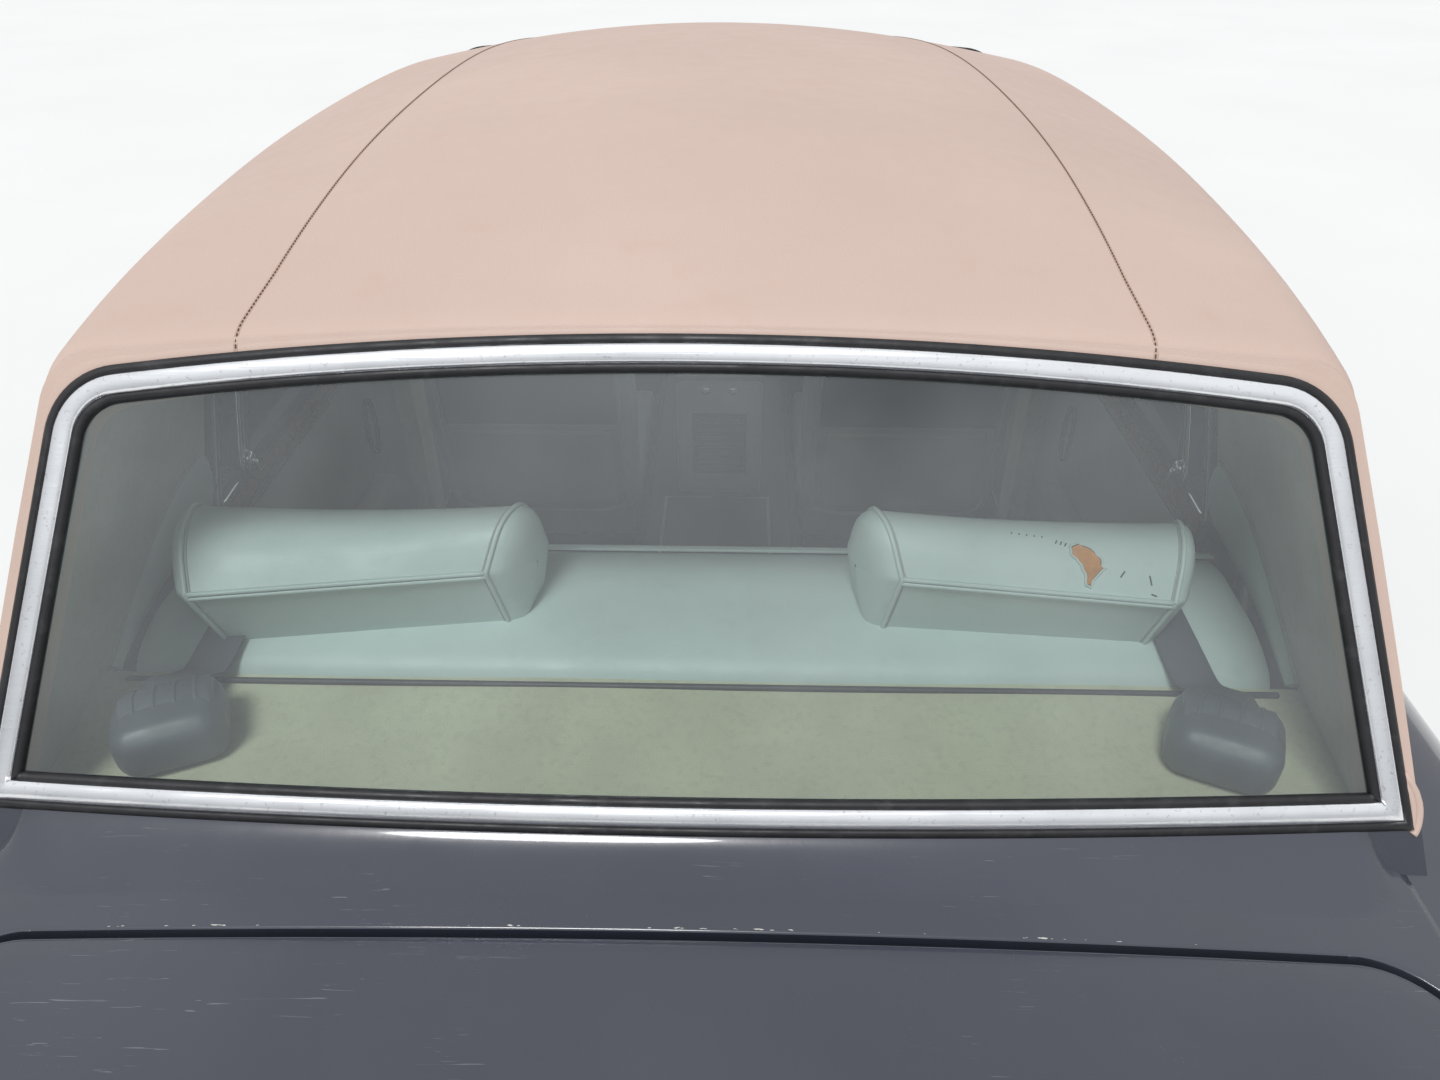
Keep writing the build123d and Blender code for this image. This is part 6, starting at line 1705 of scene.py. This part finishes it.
# bumpers: a rubber strip and two bright beads on each blade, and overriders
def bumper_line(end, z, out):
    """The blade's face in plan, from its right end round to its left one."""
    way = 1 if end > 0 else -1
    half, bow, corner = HALF_WIDTH - 1, 30.0, 120.0
    radius = (half ** 2 + bow ** 2) / (2 * bow)
    centre = np.array((0.0, end - way * radius))
    face_r = radius - corner
    cx = half - corner
    cy = centre[1] + way * sqrt(face_r ** 2 - cx ** 2)
    turn = np.arctan2(cx, abs(cy - centre[1]))
    right = [(half + out, cy - way * d) for d in (520, 400, 280, 140, 0)]
    arc = [(cx + (corner + out) * cos(q), cy + way * (corner + out) * sin(q))
           for q in np.linspace(0, pi / 2 - turn, 14)[1:]]
    face = [((radius + out) * sin(q), centre[1] + way * (radius + out) * cos(q))
            for q in np.linspace(turn, 0, 24)[1:]]
    left = np.array(right + arc + face)
    line = np.vstack((left, left[-2::-1] * (-1, 1)))
    return np.array([(x, y, z) for x, y in line])


BUMPER_PARTS = (("strip", 512, [(-17, -2), (-17, 4), (-10, 9), (10, 9), (17, 4), (17, -2)], RUBBER),
                ("bead", 532, bar_section(2, -1, 2.5), CHROME),
                ("bead_low", 492, bar_section(2, -1, 2.5), CHROME))
for label, end in (("front", -2600), ("rear", 2600)):
    for part, z, section_points, mat in BUMPER_PARTS:
        line = bumper_line(end, z, 0.5)
        away = np.cross(np.gradient(line, axis=0), (0, 0, 1.0))
        away *= np.sign((away * (line - (0, end * 0.6, z))).sum(1))[:, None]
        sweep(f"{label}_bumper_{part}", line, units(away), section_points, mat)
    way = 1 if end > 0 else -1
    for side, sign in reversed(SIDES):
        y = end - way * 30 * (330 / 909) ** 2
        low, high = sorted((y - way * 4, y + way * 0.5))
        soft_box(f"{label}_overrider_{side}", (sign * 330 - 20, low, 436), (sign * 330 + 20, high, 566), 4,
                 CHROME)

# plates, blank
soft_box("front_plate", (-260, -2601.5, 446), (260, -2598, 482), 1.2, PLATE)
soft_box("rear_plate", (-260, 2499, 650), (260, 2509, 760), 4, PLATE, "boot_lid")
soft_box("rear_plate_frame", (-270, 2497, 640), (270, 2504, 770), 5, CHROME, "boot_lid")
soft_box("plate_lamp", (-150, 2496, 775), (150, 2516, 792), 5, CHROME, "boot_lid")
soft_box("boot_handle", (-70, 2496, 800), (70, 2512, 822), 6, CHROME, "boot_lid")

# headlamps: bright rims and fluted glasses
for k, x in enumerate((470, 670, -470, -670)):
    r = HEADLAMP_RADIUS
    face_y = NOSE_Y + 20 * abs(x) / HALF_WIDTH
    bezel = [(0, r + 12), (4, r + 13), (9, r + 9), (11, r + 3), (8, r - 3), (2, r - 4)]
    revolve(f"headlamp_rim_{k}", bezel, (x, face_y, HEADLAMP_Z), (0, -1, 0), CHROME, count=72)
    for j in range(-6, 7):
        w = j * 12
        h = sqrt(max(0, (r - 10) ** 2 - w ** 2))
        line = [(x + w, face_y - 14 * (1 - (w ** 2 + z ** 2) / r ** 2) - 1.0, HEADLAMP_Z + z)
                for z in np.linspace(-h, h, 12)]
        tube(f"headlamp_flute_{k}_{j}", line, 1.3, GLASS_SIDE, sides=5)
for side, sign in reversed(SIDES):
    y = NOSE_Y + 20 * 600 / HALF_WIDTH
    low, high = sorted((sign * 480, sign * 700))
    soft_box(f"front_indicator_{side}", (low, y - 12, 572), (high, y + 4, 596), 6, LENS_AMBER)
    soft_box(f"front_indicator_rim_{side}", (low - 5, y - 7, 567), (high + 5, y + 4, 601), 6, CHROME)

# bright bands on the tail lamps
for side, sign in reversed(SIDES):
    for k, z in enumerate((600, 667, 733, 800)):
        line = mirrored([(x, tail_y(x, z) + 6.5, z) for x in np.linspace(702, 860, 24)], sign)
        sweep(f"tail_lamp_band_{side}_{k}", line, (sign * 0.2, 1, 0), bar_section(4, -4, 2.5), CHROME)

# door handles, mirrors, sill and waist strips, filler flap and wipers
def side_out(y, z, sign, out=0.0):
    return np.array((sign * (body_side(y, z, 1.0) + out), y, z))


for side, sign in SIDES:
    for label, y, body in (("front", 20, f"front_door_{side}"), ("rear", 905, f"rear_door_{side}")):
        line = [side_out(y - 165 + 165 * t, HANDLE_Z, sign, 3 + 17 * min(1, 3.2 * sin(pi * t)))
                for t in np.linspace(0, 1, 26)]
        sweep(f"{label}_door_handle_{side}", line, (sign, 0, 0.15), round_section(9, 12, 0.6), CHROME, body,
              slot="chrome")
        plate = [side_out(y - 82 + 62 * cos(q), HANDLE_Z + 17 * sin(q), sign, 0.8) for q in around(40)]
        tube(f"{label}_door_handle_dish_{side}", plate, 2, CHROME, body, closed=True)
        revolve(f"{label}_door_lock_{side}", [(0, 9), (3, 9), (4, 6), (4, 0)],
                side_out(y + 14, HANDLE_Z, sign), (sign, 0, 0.1), CHROME, body, count=28)
    body = f"front_door_{side}"
    stem = [(sign * 792, -610, 958), (sign * 822, -610, 985), (sign * 838, -606, 1000)]
    tube(f"mirror_stem_{side}", stem, 9, CHROME, body)
    low, high = sorted((sign * 795, sign * 925))
    soft_box(f"mirror_housing_{side}", (low, -640, 985), (high, -590, 1072), 22, CHROME, body, crown=3)
    soft_box(f"mirror_glass_{side}", (low + 8, -592, 993), (high - 8, -586, 1064), 3, WORN, body)
    for label, places in (("front", np.linspace(-850, 82, 40)), ("rear", np.linspace(120, 880, 34))):
        line = [side_out(y, 318, sign, 0.5) for y in places]
        sweep(f"{label}_sill_strip_{side}", line, (sign, 0, -0.1), bar_section(7, -1, 2), CHROME,
              f"{label}_door_{side}")
    for label, places in (("front", np.linspace(-640, 92, 40)), ("rear", np.linspace(110, 978, 40))):
        line = [(sign * cabin_side(y, 938, 1.0), y, 940) for y in places]
        sweep(f"{label}_waist_strip_{side}", line, (sign * 0.95, 0, 0.3), bar_section(8, -1, 3), CHROME,
              f"{label}_door_{side}")
outline = [side_out(2030 + 68 * cos(q), 800 + 68 * sin(q), -1, 0.2) for q in around(48)]
tube("filler_flap_edge", outline, 1.6, PLASTIC, closed=True, sides=6)
for k, x in enumerate((-330, 330)):
    pivot = np.array((x, -742, body_top(-742, x, 0) + 4))
    tip = np.array((x + 400, -700, 1040))
    revolve(f"wiper_pivot_{k}", [(-8, 12), (8, 12), (14, 8), (14, 0)], pivot, (0, -0.3, 1), DARK_TRIM,
            count=28)
    arm = [pivot + (0, 0, 12), pivot + (60, 4, 22), pivot * 0.5 + tip * 0.5 + (0, 0, 16)]
    tube(f"wiper_arm_{k}", arm, 4, DARK_TRIM)
    blade = [screen_point(FRONT_SCREEN, bx, 14 + (bx - x) * 0.02, 9)[0]
             for bx in np.linspace(x - 20, min(x + 420, 560), 24)]
    tube(f"wiper_blade_{k}", blade, 4.5, PLASTIC)

# wheels: treaded tyres, painted discs with bright covers
def tyre_dressed(name, y, sign, body, node):
    """A tyre with ribbed, notched tread and raised rings on its wall."""
    wall = [(-82, 179), (-100, 190), (-114, 220), (-117, 262), (-112, 300), (-101, 330), (-92, 345),
            (-78, 351.5)]
    ribs = []
    for a0, a1 in ((-70, -46), (-38, -14), (-5, 5), (14, 38), (46, 70)):
        ribs += [(a0, 344), (a0, 353.6), (a1, 353.6), (a1, 344)]
    profile = wall + ribs + [(-a, q) for a, q in wall[::-1]]
    rows = []
    count = 240
    for a, q in profile:
        ring = []
        for i in range(count):
            t = 2 * pi * i / count
            cut = q - 7 if abs(a) > 40 and q > 345 and i % 5 == 0 else q
            ring.append((sign * (WHEEL_X + a), y + cut * cos(t), AXLE_Z + cut * sin(t)))
        rows.append(ring)
    made = grid(name, rows, TYRE, body, wrap=True, slot="tyre")
    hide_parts(node)
    for k, (a, r) in enumerate(((107, 205), (107, 212), (108.5, 320))):
        ring = [(sign * (WHEEL_X + a), y + r * cos(t), AXLE_Z + r * sin(t)) for t in around(90)]
        tube(f"{name}_ring_{k}", ring, 1.6, TYRE, body, closed=True, sides=6)


COVER = [(74, 168), (83, 170), (90, 166), (86, 150), (72, 140), (64, 128), (62, 104), (70, 92), (82, 84),
         (92, 70), (98, 48), (101, 24), (101.5, 0)]
for side, sign in SIDES:
    for label, y, body in (("front", FRONT_AXLE_Y, f"wheel_front_{side}"),
                           ("rear", REAR_AXLE_Y, f"wheel_rear_{side}")):
        tyre_dressed(f"{label}_tyre_{side}", y, sign, body, f"tyre_{label}_{side}")
        revolve(f"{label}_wheel_cover_{side}", COVER, (sign * WHEEL_X, y, AXLE_Z), (sign, 0, 0), CHROME,
                body, count=96, slot="wheel_chrome")
        for k in range(24):
            q = 2 * pi * k / 24
            line = [(sign * (WHEEL_X + a), y + r * cos(q), AXLE_Z + r * sin(q))
                    for a, r in ((71, 142), (65, 130), (63, 116), (65, 104))]
            tube(f"{label}_cover_fin_{side}_{k}", line, 3.0, WHEEL_PAINT, body, sides=6)


# camera, floor and light
def camera():
    data = bpy.data.cameras.new("camera")
    data.lens, data.sensor_width = 25.14, 36
    data.clip_start, data.clip_end = 0.05, 100
    obj = bpy.data.objects.new("camera", data)
    bpy.context.scene.collection.objects.link(obj)
    yaw, pitch = radians(1.21), radians(34.92)
    forward = Vector((sin(yaw) * cos(pitch), -cos(yaw) * cos(pitch), -sin(pitch)))
    right = forward.cross(Vector((0, 0, 1))).normalized()
    up = right.cross(forward)
    turn = Matrix((right, up, -forward)).transposed().to_4x4()
    obj.matrix_world = Matrix.Translation((-0.0444, 2.1847, 1.7843)) @ turn
    bpy.context.scene.camera = obj


def floor():
    shade = Shade("floor_pale", (0.78, 0.78, 0.77), 0.85)
    shade.vary(0.02, 0.7)
    mesh = bpy.data.meshes.new("floor")
    size = 60
    mesh.from_pydata([(-size, -size, 0), (size, -size, 0), (size, size, 0), (-size, size, 0)], [],
                     [(0, 1, 2, 3)])
    obj = bpy.data.objects.new("floor", mesh)
    mesh.materials.append(shade.mat)
    bpy.context.scene.collection.objects.link(obj)


def sun(name, toward, strength, spread):
    data = bpy.data.lights.new(name, "SUN")
    data.energy, data.angle = strength, radians(spread)
    obj = bpy.data.objects.new(name, data)
    bpy.context.scene.collection.objects.link(obj)
    obj.rotation_euler = Vector(toward).to_track_quat("Z", "Y").to_euler()


def world():
    made = bpy.data.worlds.new("studio")
    bpy.context.scene.world = made
    made.use_nodes = True
    tree = made.node_tree
    tree.nodes.clear()
    out = tree.nodes.new("ShaderNodeOutputWorld")
    soft = tree.nodes.new("ShaderNodeBackground")
    shown = tree.nodes.new("ShaderNodeBackground")
    coords = tree.nodes.new("ShaderNodeTexCoord")
    split = tree.nodes.new("ShaderNodeSeparateXYZ")
    ramp = tree.nodes.new("ShaderNodeValToRGB")
    ramp.color_ramp.elements[0].position, ramp.color_ramp.elements[0].color = 0.0, (0.50, 0.51, 0.53, 1)
    ramp.color_ramp.elements[1].position, ramp.color_ramp.elements[1].color = 0.6, (0.95, 0.97, 1.0, 1)
    tree.links.new(coords.outputs["Generated"], split.inputs[0])
    tree.links.new(split.outputs["Z"], ramp.inputs["Fac"])
    for node, strength in ((soft, 0.62), (shown, 1.0)):
        tree.links.new(ramp.outputs["Color"], node.inputs["Color"])
        node.inputs["Strength"].default_value = strength
    path = tree.nodes.new("ShaderNodeLightPath")
    first = tree.nodes.new("ShaderNodeMath")
    second = tree.nodes.new("ShaderNodeMath")
    first.operation = second.operation = "MAXIMUM"
    tree.links.new(path.outputs["Is Camera Ray"], first.inputs[0])
    tree.links.new(path.outputs["Is Glossy Ray"], first.inputs[1])
    tree.links.new(first.outputs[0], second.inputs[0])
    tree.links.new(path.outputs["Is Transmission Ray"], second.inputs[1])
    mix = tree.nodes.new("ShaderNodeMixShader")
    tree.links.new(second.outputs[0], mix.inputs["Fac"])
    tree.links.new(soft.outputs[0], mix.inputs[1])
    tree.links.new(shown.outputs[0], mix.inputs[2])
    tree.links.new(mix.outputs[0], out.inputs["Surface"])


camera()
floor()
world()
sun("sun_soft", (0.18, 0.45, 0.87), 2.3, 20)
bpy.context.scene.view_settings.view_transform = "Standard"
